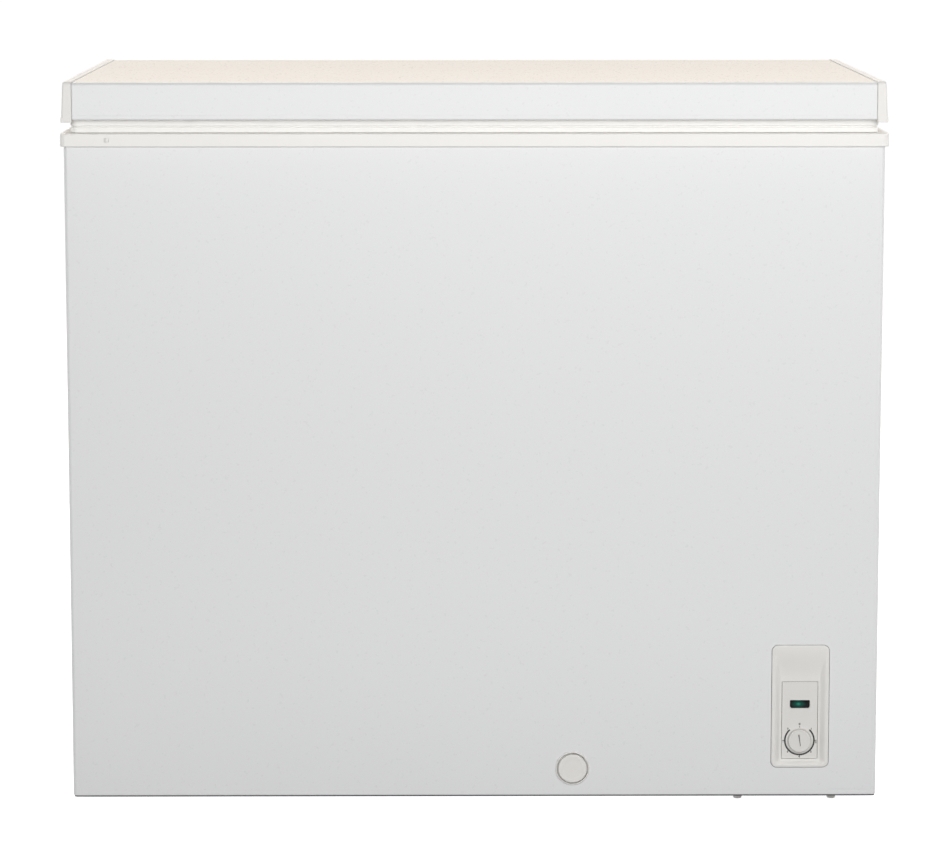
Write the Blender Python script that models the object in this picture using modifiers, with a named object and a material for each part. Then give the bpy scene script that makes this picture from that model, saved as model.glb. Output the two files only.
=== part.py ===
"""Chest freezer with a hinged lid, as separate named parts. Metres, +Z up, front towards -Y.

The origin is on the floor, under the middle of the whole freezer.
"""

import math

import bmesh
import bpy
from mathutils import Matrix, Vector

NAME = "chest_freezer"
GAP = 0.0003                 # between pieces that touch

# Cabinet
CABINET_HALF = 0.4685        # half width over the painted sheet
FRONT = -0.279               # outer face of the front sheet
REAR = 0.246                 # outer face of the rear panel
BOTTOM = 0.010               # lower edge of the sheet, above the floor
SHEET = 0.0008               # steel sheet
WRAP_TOP = 0.780             # upper edge of the sheets, inside the rim's skirt
CORNER = 0.008               # bend of the sheet at the two front corners
PAST = 0.010                 # how far a cutter runs past the sheet that it cuts

# Tub: the inside faces of the liner
WALL = 0.065
TUB_HALF = CABINET_HALF - WALL
TUB_FRONT = FRONT + WALL
TUB_REAR = REAR - WALL
TUB_FLOOR = 0.075
TUB_TOP = 0.767
STEP_X = 0.185
STEP_Z = 0.325
TUB_CORNER = 0.025
LINER = 0.001
FLOOR_HOLE = 0.0105
FOAM_CLEAR = 0.010           # from the liner's inside face to the foam, room for the cold tube

# Compressor compartment, under the step
BAY_LEFT = 0.248
BAY_TOP = 0.265
PAN_Z = BOTTOM + 0.0006
PLATE = 0.002
PAD = (0.40, 0.20, 0.016)    # left feet: distance from the middle in x and y, radius
STUD_X = (0.309, 0.419)      # right feet
STUD_Y = (FRONT + 0.027, 0.215)
STUD_RADIUS = 0.005

# Rim and gasket, as rings round the tub
MID_Y = (TUB_FRONT + TUB_REAR) / 2
TUB_HALF_Y = (TUB_REAR - TUB_FRONT) / 2
RIM_OUT = WALL + 0.004
RIM_BOTTOM = 0.768
RIM_TOP = 0.783
RIM_LIP = 0.752              # lower edge of the lip inside the tub
LEDGE_Z = 0.770
LEDGE_OUT = 0.010
RIM_WALL = 0.0025
GASKET_OUT = 0.058
GASKET_IN = 0.038
GASKET_TOP = 0.798

# Lid
LID_HALF = 0.471
LID_FRONT = FRONT - 0.004
LID_REAR = 0.255
LID_TOP = 0.842
CAP_WIDTH = 0.0125
CAP_BOTTOM = 0.7955
CAP_WALL = 0.0025
PANEL_INSET = 0.0005         # the sheet lies a little inside the end caps
HEM_Z = 0.7985
FOLD = 0.006
LID_LINER_Z = 0.7998
LID_LINER = 0.0015

# Hinges
HINGE_X = (-0.29, 0.29)
PIVOT_Y = 0.268
PIVOT_Z = 0.786
EAR = 0.0015
EAR_RADIUS = 0.0105
PIN_RADIUS = 0.0025
CAM_ARM = 0.0075
CAM_DROP = math.radians(40)
CAM_RADIUS = 0.0022
HINGE_REAR = 0.283
SHELF_Z = 0.6695
PLUNGER_FOOT = 0.7305

# Controls and drain
PANEL_X = 0.379
BEZEL_Z = 0.1156
BEZEL = (0.03335, 0.0725)    # half width and half height
BEZEL_FACE = FRONT - 0.0015
PANEL_HOLE = (0.0313, 0.0703)
PLATE_Z = 0.0979
FACIA = (0.0207, 0.0457)
KNOB_Z = 0.074
KNOB_RADIUS = 0.01335
KNOB_HIGH = 0.0050
KNOB_POCKET = 0.0030
SHAFT_RADIUS = 0.003
SHAFT_END = 0.0145           # behind the facia
NOSE_RADIUS = 0.005
LENS_Z = 0.1173
LENS = (0.01135, 0.00455)
PLATE_FACE = FRONT + 0.0045
PLATE_BACK = FRONT + 0.0065
DRAIN_X = 0.114
DRAIN_Z = 0.0423
DRAIN_Y = TUB_FRONT + 0.045
DRAIN_LIP = 0.0198           # outer radius of the collar
DRAIN_WELL = 0.0190          # outer radius of the well sunk behind the sheet
DRAIN_DEEP = 0.0042
DRAIN_BORE = 0.0088
ELBOW = 0.0125               # radius of the elbow's upright, and below of its level run
ELBOW_RUN = 0.0105
ELBOW_DROP = 0.0130

# Cooling circuit
COMPRESSOR = (0.358, 0.130)
CAN_RADIUS = 0.078
CAN_BOTTOM = 0.0303
CAN_SHOULDER = 0.165
CAN_DOME = 0.035
HOT_TUBE = 0.0025
HOT_BEND = 0.017
COLD_TUBE = 0.004
HOT_X = CABINET_HALF - SHEET - 2 * GAP - HOT_TUBE
COLD_OUT = 0.0056
COLD_X = TUB_HALF + COLD_OUT
HOT_LEADS = (0.225, 0.190)
COLD_LEADS = (0.130, 0.100)
DRIER_X = 0.456
TUBE_CLEAR = 0.0006
LEAD_CUT = 0.015             # how far a tube's cutter runs above and below the pan
DRIER_TOP = BAY_TOP - 0.022
DRIER_END = 0.128

# Vents and cord gland
VENT_Y = (0.020, 0.200)
VENT_Z = (0.058, 0.182)
VENT_LAP = 0.010             # the side grille's border over its hole
SLOT_MARGIN = 0.004
GLAND_X, GLAND_Z = 0.285, 0.040
GLAND_HOLE = 0.0083

# Basket
BASKET_LEFT, BASKET_RIGHT = 0.153, 0.383
BASKET_FRONT, BASKET_REAR = TUB_FRONT + 0.008, TUB_REAR - 0.008
BASKET_BOTTOM = 0.585
BASKET_BAR = 0.005
HOOK_REACH = 0.0135

# ---------------------------------------------------------------- scene and helpers

for old in list(bpy.data.objects):
    bpy.data.objects.remove(old, do_unlink=True)

parts = bpy.data.collections.new(NAME)
cutters = bpy.data.collections.new(NAME + "_cutters")
for group in (parts, cutters):
    bpy.context.scene.collection.children.link(group)


def material(name, colour, roughness, metallic=0.0):
    """A Principled material of one colour."""
    made = bpy.data.materials.new(name)
    made.use_nodes = True
    shader = made.node_tree.nodes["Principled BSDF"]
    shader.inputs["Base Color"].default_value = (*colour, 1.0)
    shader.inputs["Roughness"].default_value = roughness
    shader.inputs["Metallic"].default_value = metallic
    return made


def finish(obj, look):
    """Gives a part its material and puts it in the parts collection."""
    obj.data.materials.append(look)
    parts.objects.link(obj)
    return obj


def empty(name, place):
    """A parent for moving pieces, on their joint's axis."""
    made = bpy.data.objects.new(name, None)
    made.location = place
    parts.objects.link(made)
    return made


def carry(parent, *children):
    """Children keep their place and move with the parent."""
    for child in children:
        child.location = child.location - parent.location
        child.parent = parent


def mesh_object(name, bm):
    """An object from a bmesh, with its origin at the world's."""
    data = bpy.data.meshes.new(name)
    bm.to_mesh(data)
    bm.free()
    return bpy.data.objects.new(name, data)


def box(name, low, high):
    """A block between two corners."""
    bm = bmesh.new()
    bmesh.ops.create_cube(bm, size=1.0)
    size = [b - a for a, b in zip(low, high)]
    middle = [(a + b) / 2 for a, b in zip(low, high)]
    bmesh.ops.scale(bm, vec=size, verts=bm.verts)
    bmesh.ops.translate(bm, vec=middle, verts=bm.verts)
    return mesh_object(name, bm)


def rod(name, start, end, radius, sides=20):
    """A cylinder between two points."""
    start, end = Vector(start), Vector(end)
    along = end - start
    turn = along.to_track_quat("Z", "Y").to_matrix().to_4x4()
    bm = bmesh.new()
    bmesh.ops.create_cone(
        bm, cap_ends=True, segments=sides, radius1=radius, radius2=radius, depth=along.length,
        matrix=Matrix.Translation((start + end) / 2) @ turn,
    )
    return mesh_object(name, bm)


def boolean(obj, other, operation):
    """Cuts obj by other, or joins other to it, and keeps other with the cutters."""
    cutters.objects.link(other)
    other.hide_render = True
    other.display_type = "WIRE"
    step = obj.modifiers.new(other.name, "BOOLEAN")
    step.operation = operation
    step.solver = "EXACT"
    step.object = other
    return obj


def cut(obj, *others):
    for other in others:
        boolean(obj, other, "DIFFERENCE")
    return obj


def join(obj, *others):
    for other in others:
        boolean(obj, other, "UNION")
    return obj


def bevel(obj, width, segments=2):
    """Rounds every sharp edge."""
    step = obj.modifiers.new("rounding", "BEVEL")
    step.width = width
    step.segments = segments
    step.limit_method = "ANGLE"
    return obj


def solidify(obj, thickness, offset):
    """Thickens a sheet: offset 1 along its normals, -1 against them."""
    step = obj.modifiers.new("thickness", "SOLIDIFY")
    step.thickness = thickness
    step.offset = offset
    step.use_even_offset = True
    return obj


def fillet(points, radius, steps=3):
    """The points of a path with each inner corner rounded to an arc."""
    points = [Vector(p) for p in points]
    rounded = [points[0]]
    for before, corner, after in zip(points, points[1:], points[2:]):
        to_before, to_after = (before - corner).normalized(), (after - corner).normalized()
        half = to_before.angle(to_after) / 2
        reach = radius / math.tan(half)
        centre = corner + (to_before + to_after).normalized() * radius / math.sin(half)
        first, last = corner + to_before * reach - centre, corner + to_after * reach - centre
        sweep = first.angle(last)
        for i in range(steps + 1):
            share = i / steps
            mix = first * math.sin((1 - share) * sweep) + last * math.sin(share * sweep)
            rounded.append(centre + mix / math.sin(sweep))
    rounded.append(points[-1])
    return rounded


def sheet(name, path, along, thickness, offset):
    """A folded sheet: a path pushed along a vector, then thickened."""
    bm = bmesh.new()
    near = [bm.verts.new(p) for p in path]
    far = [bm.verts.new(Vector(p) + Vector(along)) for p in path]
    for i in range(len(path) - 1):
        bm.faces.new((near[i], near[i + 1], far[i + 1], far[i]))
    return solidify(mesh_object(name, bm), thickness, offset)


def rounded_rectangle(half_u, half_v, radius, steps=4):
    """Points anticlockwise round a rectangle with round corners, centred on zero."""
    points = []
    for corner, (su, sv) in enumerate(((1, 1), (-1, 1), (-1, -1), (1, -1))):
        for i in range(steps + 1):
            angle = math.pi / 2 * (corner + i / steps)
            u = su * (half_u - radius) + radius * math.cos(angle)
            v = sv * (half_v - radius) + radius * math.sin(angle)
            points.append((u, v))
    return points


def loft(name, rings, ends):
    """Skins a list of rings of equal length. ends is 'loop', 'caps' or 'last' (one cap)."""
    bm = bmesh.new()
    rows = [[bm.verts.new(p) for p in ring] for ring in rings]
    pairs = list(zip(rows, rows[1:]))
    if ends == "loop":
        pairs.append((rows[-1], rows[0]))
    for lower, upper in pairs:
        for i in range(len(lower)):
            j = (i + 1) % len(lower)
            bm.faces.new((lower[i], lower[j], upper[j], upper[i]))
    if ends == "caps":
        bm.faces.new(rows[0][::-1])
    if ends in ("caps", "last"):
        bm.faces.new(rows[-1])
    return mesh_object(name, bm)


def tub_ring(out_x, out_y, radius, z):
    """A level ring, out_x and out_y outside the tub's inside faces."""
    outline = rounded_rectangle(TUB_HALF + out_x, TUB_HALF_Y + out_y, radius)
    return [(u, MID_Y + v, z) for u, v in outline]


def panel_ring(centre_z, half_x, half_z, radius, y):
    """An upright ring round the control panel, seen anticlockwise from behind."""
    outline = rounded_rectangle(half_x, half_z, radius)
    return [(PANEL_X - u, y, centre_z + v) for u, v in outline]


def turned(name, profile, place, axis="Z", steps=20):
    """A turned piece: profile is (radius, height) down its outer side, from place along axis."""
    bm = bmesh.new()
    verts = [bm.verts.new((radius, 0, height)) for radius, height in profile]
    closed = all(radius > 0 for radius, _ in profile)
    for a, b in zip(verts, verts[1:] + verts[:1] if closed else verts[1:]):
        bm.edges.new((a, b))
    made = mesh_object(name, bm)
    made.location = place
    made.rotation_euler = {"Z": (0, 0, 0), "-Y": (math.pi / 2, 0, 0), "X": (0, math.pi / 2, 0)}[axis]
    screw = made.modifiers.new("turn", "SCREW")
    screw.steps = screw.render_steps = steps
    screw.use_merge_vertices = True
    screw.merge_threshold = 0.00001
    screw.use_smooth_shade = True
    return made


def plate(name, loops, centre_x, thickness):
    """A flat plate across X from closed outlines of (y, z); the later outlines are holes."""
    data = bpy.data.curves.new(name, "CURVE")
    data.dimensions = "2D"
    data.fill_mode = "BOTH"
    data.extrude = thickness / 2
    for loop in loops:
        spline = data.splines.new("POLY")
        spline.points.add(len(loop) - 1)
        spline.use_cyclic_u = True
        for point, (y, z) in zip(spline.points, loop):
            point.co = (y, z, 0, 1)
    upright = Matrix(((0, 0, 1, centre_x), (1, 0, 0, 0), (0, 1, 0, 0), (0, 0, 0, 1)))
    return meshed(name, data, upright)


def tube(name, points, radius, sides=2):
    """A round tube along points, with filled ends."""
    data = bpy.data.curves.new(name, "CURVE")
    data.dimensions = "3D"
    data.bevel_depth = radius
    data.bevel_resolution = sides
    data.use_fill_caps = True
    spline = data.splines.new("POLY")
    spline.points.add(len(points) - 1)
    for point, place in zip(spline.points, points):
        point.co = (*place, 1)
    return meshed(name, data, Matrix.Identity(4))


def meshed(name, curve_data, matrix):
    """A mesh object from a curve, with its caps welded on."""
    source = bpy.data.objects.new(name, curve_data)
    source.matrix_world = matrix
    bpy.context.scene.collection.objects.link(source)
    bpy.context.view_layer.update()
    evaluated = source.evaluated_get(bpy.context.evaluated_depsgraph_get())
    data = bpy.data.meshes.new_from_object(evaluated)
    bm = bmesh.new()
    bm.from_mesh(data)
    bmesh.ops.remove_doubles(bm, verts=bm.verts, dist=0.00001)
    bmesh.ops.recalc_face_normals(bm, faces=bm.faces)
    bm.to_mesh(data)
    bm.free()
    bpy.data.objects.remove(source)
    made = bpy.data.objects.new(name, data)
    made.matrix_world = matrix
    return made


def circle(centre, radius, sides=20, start=0.0, sweep=2 * math.pi):
    """Points on a circle or an arc, in a plate's own plane."""
    count = sides if sweep == 2 * math.pi else sides + 1
    angles = [start + sweep * i / sides for i in range(count)]
    return [(centre[0] + radius * math.cos(a), centre[1] + radius * math.sin(a)) for a in angles]


# ---------------------------------------------------------------- looks

white_paint = material("white_paint", (0.83, 0.84, 0.84), 0.30)
white_plastic = material("white_plastic", (0.84, 0.83, 0.80), 0.42)
grey_plastic = material("grey_plastic", (0.66, 0.64, 0.62), 0.45)
galvanised = material("galvanised", (0.55, 0.57, 0.58), 0.45, 1.0)
black_paint = material("black_paint", (0.02, 0.02, 0.022), 0.35)
black_plastic = material("black_plastic", (0.03, 0.03, 0.03), 0.5)
rubber = material("rubber", (0.04, 0.04, 0.04), 0.8)
gasket_white = material("gasket_white", (0.80, 0.79, 0.76), 0.6)
foam = material("foam", (0.80, 0.72, 0.48), 0.9)
aluminium = material("aluminium", (0.80, 0.81, 0.82), 0.35, 0.9)
copper = material("copper", (0.72, 0.38, 0.22), 0.3, 1.0)
zinc = material("zinc", (0.62, 0.62, 0.60), 0.35, 1.0)
green_lens = material("green_lens", (0.01, 0.13, 0.10), 0.15)
coated_wire = material("coated_wire", (0.86, 0.86, 0.84), 0.35)


# ---------------------------------------------------------------- cabinet


def cabinet_wrapper():
    """The painted sheet, bent round the front and both sides."""
    bends = [
        (-CABINET_HALF, REAR, BOTTOM),
        (-CABINET_HALF, FRONT, BOTTOM),
        (CABINET_HALF, FRONT, BOTTOM),
        (CABINET_HALF, REAR, BOTTOM),
    ]
    body = sheet("cabinet_wrapper", fillet(bends, CORNER, 4), (0, 0, WRAP_TOP - BOTTOM), SHEET, -1)
    half_x, half_z = PANEL_HOLE
    cut(
        body,
        box("panel_cutout", (PANEL_X - half_x, FRONT - PAST, BEZEL_Z - half_z),
            (PANEL_X + half_x, FRONT + PAST, BEZEL_Z + half_z)),
        rod("drain_cutout", (DRAIN_X, FRONT - PAST, DRAIN_Z), (DRAIN_X, FRONT + PAST, DRAIN_Z),
            DRAIN_WELL + GAP, 24),
        box("vent_cutout", (CABINET_HALF - PAST, VENT_Y[0] + VENT_LAP, VENT_Z[0] + VENT_LAP),
            (CABINET_HALF + PAST, VENT_Y[1] - VENT_LAP, VENT_Z[1] - VENT_LAP)),
    )
    finish(body, white_paint)


def rear_panel():
    """The flat rear sheet, notched over the compressor compartment."""
    half = CABINET_HALF - SHEET - GAP
    panel = box("rear_panel", (-half, REAR - SHEET, BOTTOM + 0.001), (half, REAR, WRAP_TOP))
    cut(panel, box("rear_notch", (BAY_LEFT, REAR - PAST, 0), (half + PAST, REAR + PAST, BAY_TOP)))
    finish(panel, white_paint)


def base_pan():
    """The bottom sheet, which steps up over the compressor."""
    half = CABINET_HALF - SHEET - GAP
    front, rear = FRONT + CORNER, REAR - SHEET - GAP
    path = [
        (-half, front, PAN_Z),
        (BAY_LEFT, front, PAN_Z),
        (BAY_LEFT, front, BAY_TOP - SHEET),
        (half, front, BAY_TOP - SHEET),
    ]
    pan = sheet("base_pan", path, (0, rear - front, 0), SHEET, 1)
    low, high = BAY_TOP - LEAD_CUT, BAY_TOP + LEAD_CUT
    for i, y in enumerate(HOT_LEADS):
        cut(pan, rod(f"hot_notch_{i}", (HOT_X, y, low), (HOT_X, y, high), HOT_TUBE + TUBE_CLEAR, 12))
    for i, y in enumerate(COLD_LEADS):
        cut(pan, rod(f"cold_hole_{i}", (COLD_X, y, low), (COLD_X, y, high), COLD_TUBE + TUBE_CLEAR, 12))
    finish(pan, galvanised)


def tub_block(name, out, top, corner, open_top):
    """The tub's stepped inside, grown by out; an open-topped sheet or a solid cutter."""
    left, right = -TUB_HALF - out, TUB_HALF + out
    step_x, step_z, floor = STEP_X + out, STEP_Z - out, TUB_FLOOR - out
    outline = [
        (left, floor), (step_x, floor), (step_x, step_z), (right, step_z), (right, top), (left, top),
    ]
    near, far = TUB_FRONT - out, TUB_REAR + out
    bm = bmesh.new()
    front_face = bm.faces.new([bm.verts.new((x, near, z)) for x, z in outline])
    grown = bmesh.ops.extrude_face_region(bm, geom=[front_face])
    moved = [v for v in grown["geom"] if isinstance(v, bmesh.types.BMVert)]
    bmesh.ops.translate(bm, vec=(0, far - near, 0), verts=moved)
    bmesh.ops.recalc_face_normals(bm, faces=bm.faces)
    if open_top:
        lid = [f for f in bm.faces if all(v.co.z > top - 0.001 for v in f.verts)]
        bmesh.ops.delete(bm, geom=lid, context="FACES")
    return bevel(mesh_object(name, bm), corner, 4)


def inner_liner():
    """The tub, with its step over the compressor and the drain hole in its floor."""
    liner = solidify(tub_block("inner_liner", 0, TUB_TOP, TUB_CORNER, True), LINER, 1)
    low, high = TUB_FLOOR - PAST, TUB_FLOOR + PAST
    cut(liner, rod("floor_hole", (DRAIN_X, DRAIN_Y, low), (DRAIN_X, DRAIN_Y, high), FLOOR_HOLE))
    finish(liner, aluminium)


def cabinet_foam():
    """The insulation between the sheets and the liner, with room for both tubes."""
    room = 0.001
    half = CABINET_HALF - SHEET - 2 * HOT_TUBE - room
    front = FRONT + SHEET + 2 * HOT_TUBE + room
    rear = REAR - SHEET - GAP
    block = box("cabinet_foam", (-half, front, PAN_Z + SHEET + GAP), (half, rear, TUB_TOP))
    bevel(block, 0.030, 3)
    past = 0.05
    below = box("foam_bay", (BAY_LEFT - SHEET - GAP, front - past, -past),
                (half + past, rear + past, BAY_TOP + GAP))
    cut(block, below, tub_block("foam_tub", FOAM_CLEAR, WRAP_TOP + past, TUB_CORNER + FOAM_CLEAR, False))
    low, high = BAY_TOP - LEAD_CUT, STEP_Z + 0.035
    for i, y in enumerate(COLD_LEADS):
        cut(block, rod(f"foam_lead_{i}", (COLD_X, y, low), (COLD_X, y, high), COLD_TUBE + TUBE_CLEAR, 12))
    cut(
        block,
        rod("foam_socket", (DRAIN_X, DRAIN_Y, DRAIN_Z - ELBOW_DROP - room),
            (DRAIN_X, DRAIN_Y, TUB_FLOOR + PAST), ELBOW + room),
        rod("foam_drain", (DRAIN_X, DRAIN_Y, DRAIN_Z), (DRAIN_X, FRONT - PAST, DRAIN_Z), ELBOW_RUN + room),
    )
    finish(block, foam)


def rim_frame():
    """The plastic collar: skirt outside, flat top, basket ledge and inner lip."""
    inside = GAP + 0.002
    profile = [
        (RIM_OUT, RIM_BOTTOM, 0.007), (RIM_OUT, RIM_TOP - 0.0015, 0.007),
        (RIM_OUT - 0.0015, RIM_TOP, 0.0055),
        (LEDGE_OUT + 0.002, RIM_TOP, 0.030), (LEDGE_OUT, RIM_TOP - 0.002, 0.028),
        (LEDGE_OUT, LEDGE_Z, 0.028), (-0.001, LEDGE_Z, 0.024), (-inside, LEDGE_Z - 0.001, 0.023),
        (-inside, RIM_LIP, 0.023), (-GAP, RIM_LIP, 0.0245), (-GAP, TUB_TOP + GAP, 0.0245),
        (LEDGE_OUT + RIM_WALL, TUB_TOP + GAP, 0.0305),
        (LEDGE_OUT + RIM_WALL, RIM_TOP - RIM_WALL, 0.0305),
        (WALL + GAP, RIM_TOP - RIM_WALL, 0.001), (WALL + GAP, RIM_BOTTOM, 0.001),
    ]
    rings = [tub_ring(out, out, radius, z) for out, z, radius in profile]
    finish(loft("rim_frame", rings, "loop"), white_plastic)


def feet():
    """Two broad pads under the left side and four studs under the compressor plate."""
    pad_x, pad_y, pad_radius = PAD
    places = [("left", end, -pad_x, y, pad_radius, rubber) for end, y in (("front", -pad_y), ("rear", pad_y))]
    for side, x in zip(("bay", "right"), STUD_X):
        places += [(side, end, x, y, STUD_RADIUS, grey_plastic) for end, y in zip(("front", "rear"), STUD_Y)]
    top, flange, edge = PAN_Z - GAP, 0.003, 0.001
    for side, end, x, y, radius, look in places:
        profile = [
            (0, top), (radius + flange, top), (radius + flange - edge, top - 4 * edge),
            (radius, edge), (radius - edge, 0), (0, 0),
        ]
        finish(turned(f"foot_{side}_{end}", profile, (x, y, 0), steps=16), look)


# ---------------------------------------------------------------- cooling circuit


def wall_coil(corners, lead_x, leads, heights, turn_end):
    """A path that rises at the first lead, runs to and fro over the walls, and comes down at the other."""
    riser, drop = leads
    path = [(lead_x, riser, BAY_TOP - 0.003), (lead_x, riser, heights[0])]
    for row, z in enumerate(heights):
        run = [(x, y, z) for x, y in corners + [turn_end]]
        path += run if row % 2 == 0 else run[::-1] + [(lead_x, drop, z)]
        if row % 2 and row < len(heights) - 1:
            path.append((lead_x, drop, heights[row + 1]))
    path.append((lead_x, drop, BAY_TOP - 0.003))
    return path


def evaporator_coil():
    """The cold tube, wound on all four walls of the liner."""
    front, rear = TUB_FRONT - COLD_OUT, TUB_REAR + COLD_OUT
    corners = [(COLD_X, front), (-COLD_X, front), (-COLD_X, rear)]
    heights = [0.725 - 0.110 * i for i in range(4)]
    path = wall_coil(corners, COLD_X, COLD_LEADS, heights, (0.30, rear))
    finish(tube("evaporator_coil", fillet(path, TUB_CORNER + COLD_OUT, 4), COLD_TUBE), aluminium)


def condenser_coil():
    """The hot tube, fixed to the inside of the front and side sheets."""
    front = FRONT + SHEET + 2 * GAP + HOT_TUBE
    corners = [(HOT_X, front), (-HOT_X, front)]
    heights = [0.700 - 0.120 * i for i in range(4)]
    points = fillet(wall_coil(corners, HOT_X, HOT_LEADS, heights, (-HOT_X, 0.20)), HOT_BEND)
    end_y = HOT_LEADS[1]
    points += [Vector((DRIER_X, end_y, BAY_TOP - 0.011)), Vector((DRIER_X, end_y, DRIER_TOP))]
    finish(tube("condenser_coil", points, HOT_TUBE), copper)


def compressor_plate():
    """The steel plate across the bottom of the compartment."""
    low = (BAY_LEFT + 0.0005, FRONT + CORNER, PAN_Z)
    high = (CABINET_HALF - SHEET - GAP, REAR - SHEET - GAP - 0.0005, PAN_Z + PLATE)
    finish(box("compressor_plate", low, high), galvanised)


def compressor():
    """A hermetic can with a domed top on its foot plate, open underneath."""
    x, y = COMPRESSOR
    wall = 0.006
    sweep = [math.pi / 2 * i / 6 for i in range(7)]
    outer = [(CAN_RADIUS * math.sin(a), CAN_SHOULDER + CAN_DOME * math.cos(a)) for a in sweep]
    bore, ceiling = CAN_RADIUS - wall, CAN_DOME - wall
    inner = [(bore * math.sin(a), CAN_SHOULDER + ceiling * math.cos(a)) for a in sweep]
    seam_z, seam = 0.100, 0.003
    weld = [
        (CAN_RADIUS, seam_z + 0.005), (CAN_RADIUS + seam, seam_z + seam),
        (CAN_RADIUS + seam, seam_z - seam), (CAN_RADIUS, seam_z - 0.005),
    ]
    low = [(CAN_RADIUS, 0.050), (0.060, CAN_BOTTOM), (0.050, CAN_BOTTOM), (bore, 0.056)]
    can = turned("compressor", outer + weld + low + inner[::-1], (x, y, 0), steps=24)
    foot_x, foot_y, foot_low, foot_high = 0.100, 0.070, CAN_BOTTOM - 0.001, CAN_BOTTOM + 0.002
    foot = box("compressor_foot", (x - foot_x, y - foot_y, foot_low), (x + foot_x, y + foot_y, foot_high))
    cut(foot, rod("foot_hole", (x, y, foot_low - PAST), (x, y, foot_high + PAST), 0.045))
    join(can, foot)
    finish(can, black_paint)
    top, bottom = foot_low - GAP, PAN_Z + PLATE + GAP
    waist, head, neck, base = (top + bottom) / 2, 0.011, 0.008, 0.012
    profile = [
        (0, top), (head, top), (head, waist + 0.003), (neck, waist + 0.001),
        (neck, waist - 0.001), (base, waist - 0.003), (base, bottom), (0, bottom),
    ]
    for i, (sx, sy) in enumerate(((-1, -1), (1, -1), (-1, 1), (1, 1))):
        place = (x + sx * (foot_x - 0.015), y + sy * (foot_y - 0.015), 0)
        finish(turned(f"compressor_grommet_{i + 1}", profile, place, steps=12), rubber)
    cover_half, cover_z = 0.030, (0.120, 0.160)
    cover = box("starter_cover", (x - cover_half, y - CAN_RADIUS - 0.040, cover_z[0]),
                (x + cover_half, y - CAN_RADIUS - seam - 0.0005, cover_z[1]))
    finish(bevel(cover, 0.004), black_plastic)


def dome_height(x, y):
    """The height of the can's domed top over a point."""
    out = math.hypot(x - COMPRESSOR[0], y - COMPRESSOR[1])
    return CAN_SHOULDER + CAN_DOME * math.sqrt(1 - (out / CAN_RADIUS) ** 2)


def compartment_tubes():
    """The tubes between compressor, condenser, drier and evaporator."""
    join_z, bend = BAY_TOP - 0.003 - GAP, 0.012
    in_x, in_y, in_z = 0.375, COLD_LEADS[1], 0.225
    suction = [
        (COLD_X, in_y, join_z), (COLD_X, in_y, in_z), (in_x, in_y, in_z),
        (in_x, in_y, dome_height(in_x, in_y) + COLD_TUBE),
    ]
    finish(tube("suction_tube", fillet(suction, bend), COLD_TUBE), copper)
    out_x, out_y, out_z, riser_y = 0.345, 0.175, 0.232, HOT_LEADS[0]
    discharge = [
        (out_x, out_y, dome_height(out_x, out_y) + 0.003), (out_x, out_y, out_z),
        (out_x, riser_y, out_z), (HOT_X, riser_y, out_z), (HOT_X, riser_y, join_z),
    ]
    finish(tube("discharge_tube", fillet(discharge, bend), HOT_TUBE), copper)
    drier_y, drier, neck, tip = HOT_LEADS[1], 0.009, 0.0035, 0.0015
    top = DRIER_TOP - GAP
    profile = [
        (0, top), (0.003, top), (neck, top - 0.012), (drier, top - 0.020), (drier, DRIER_END + 0.022),
        (0.002, DRIER_END + 0.012), (tip, DRIER_END), (0, DRIER_END),
    ]
    finish(turned("filter_drier", profile, (DRIER_X, drier_y, 0), steps=20), copper)
    loop_x, loop_y, loop_low, loop_high = 0.440, 0.215, 0.110, 0.248
    lead_y = COLD_LEADS[0]
    capillary = [
        (DRIER_X, drier_y, DRIER_END - GAP), (DRIER_X, drier_y, loop_low), (loop_x, loop_y, loop_low),
        (loop_x, loop_y, loop_high), (COLD_X, lead_y, loop_high), (COLD_X, lead_y, join_z),
    ]
    finish(tube("capillary_tube", fillet(capillary, 0.006), 0.0011), copper)


def slots(name, low, high, columns, rows, slot_height, through):
    """A grid of slot cutters in a rectangle; through(end, u, z) is a corner on either side of the sheet."""
    made = []
    (u0, z0), (u1, z1) = low, high
    pitch_u, pitch_z = (u1 - u0) / columns, (z1 - z0) / rows
    for c in range(columns):
        for r in range(rows):
            u, z = u0 + c * pitch_u, z0 + (r + 0.5) * pitch_z
            corner_low = through(0, u + SLOT_MARGIN, z - slot_height / 2)
            corner_high = through(1, u + pitch_u - SLOT_MARGIN, z + slot_height / 2)
            made.append(box(f"{name}_{c}_{r}", corner_low, corner_high))
    return made


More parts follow.
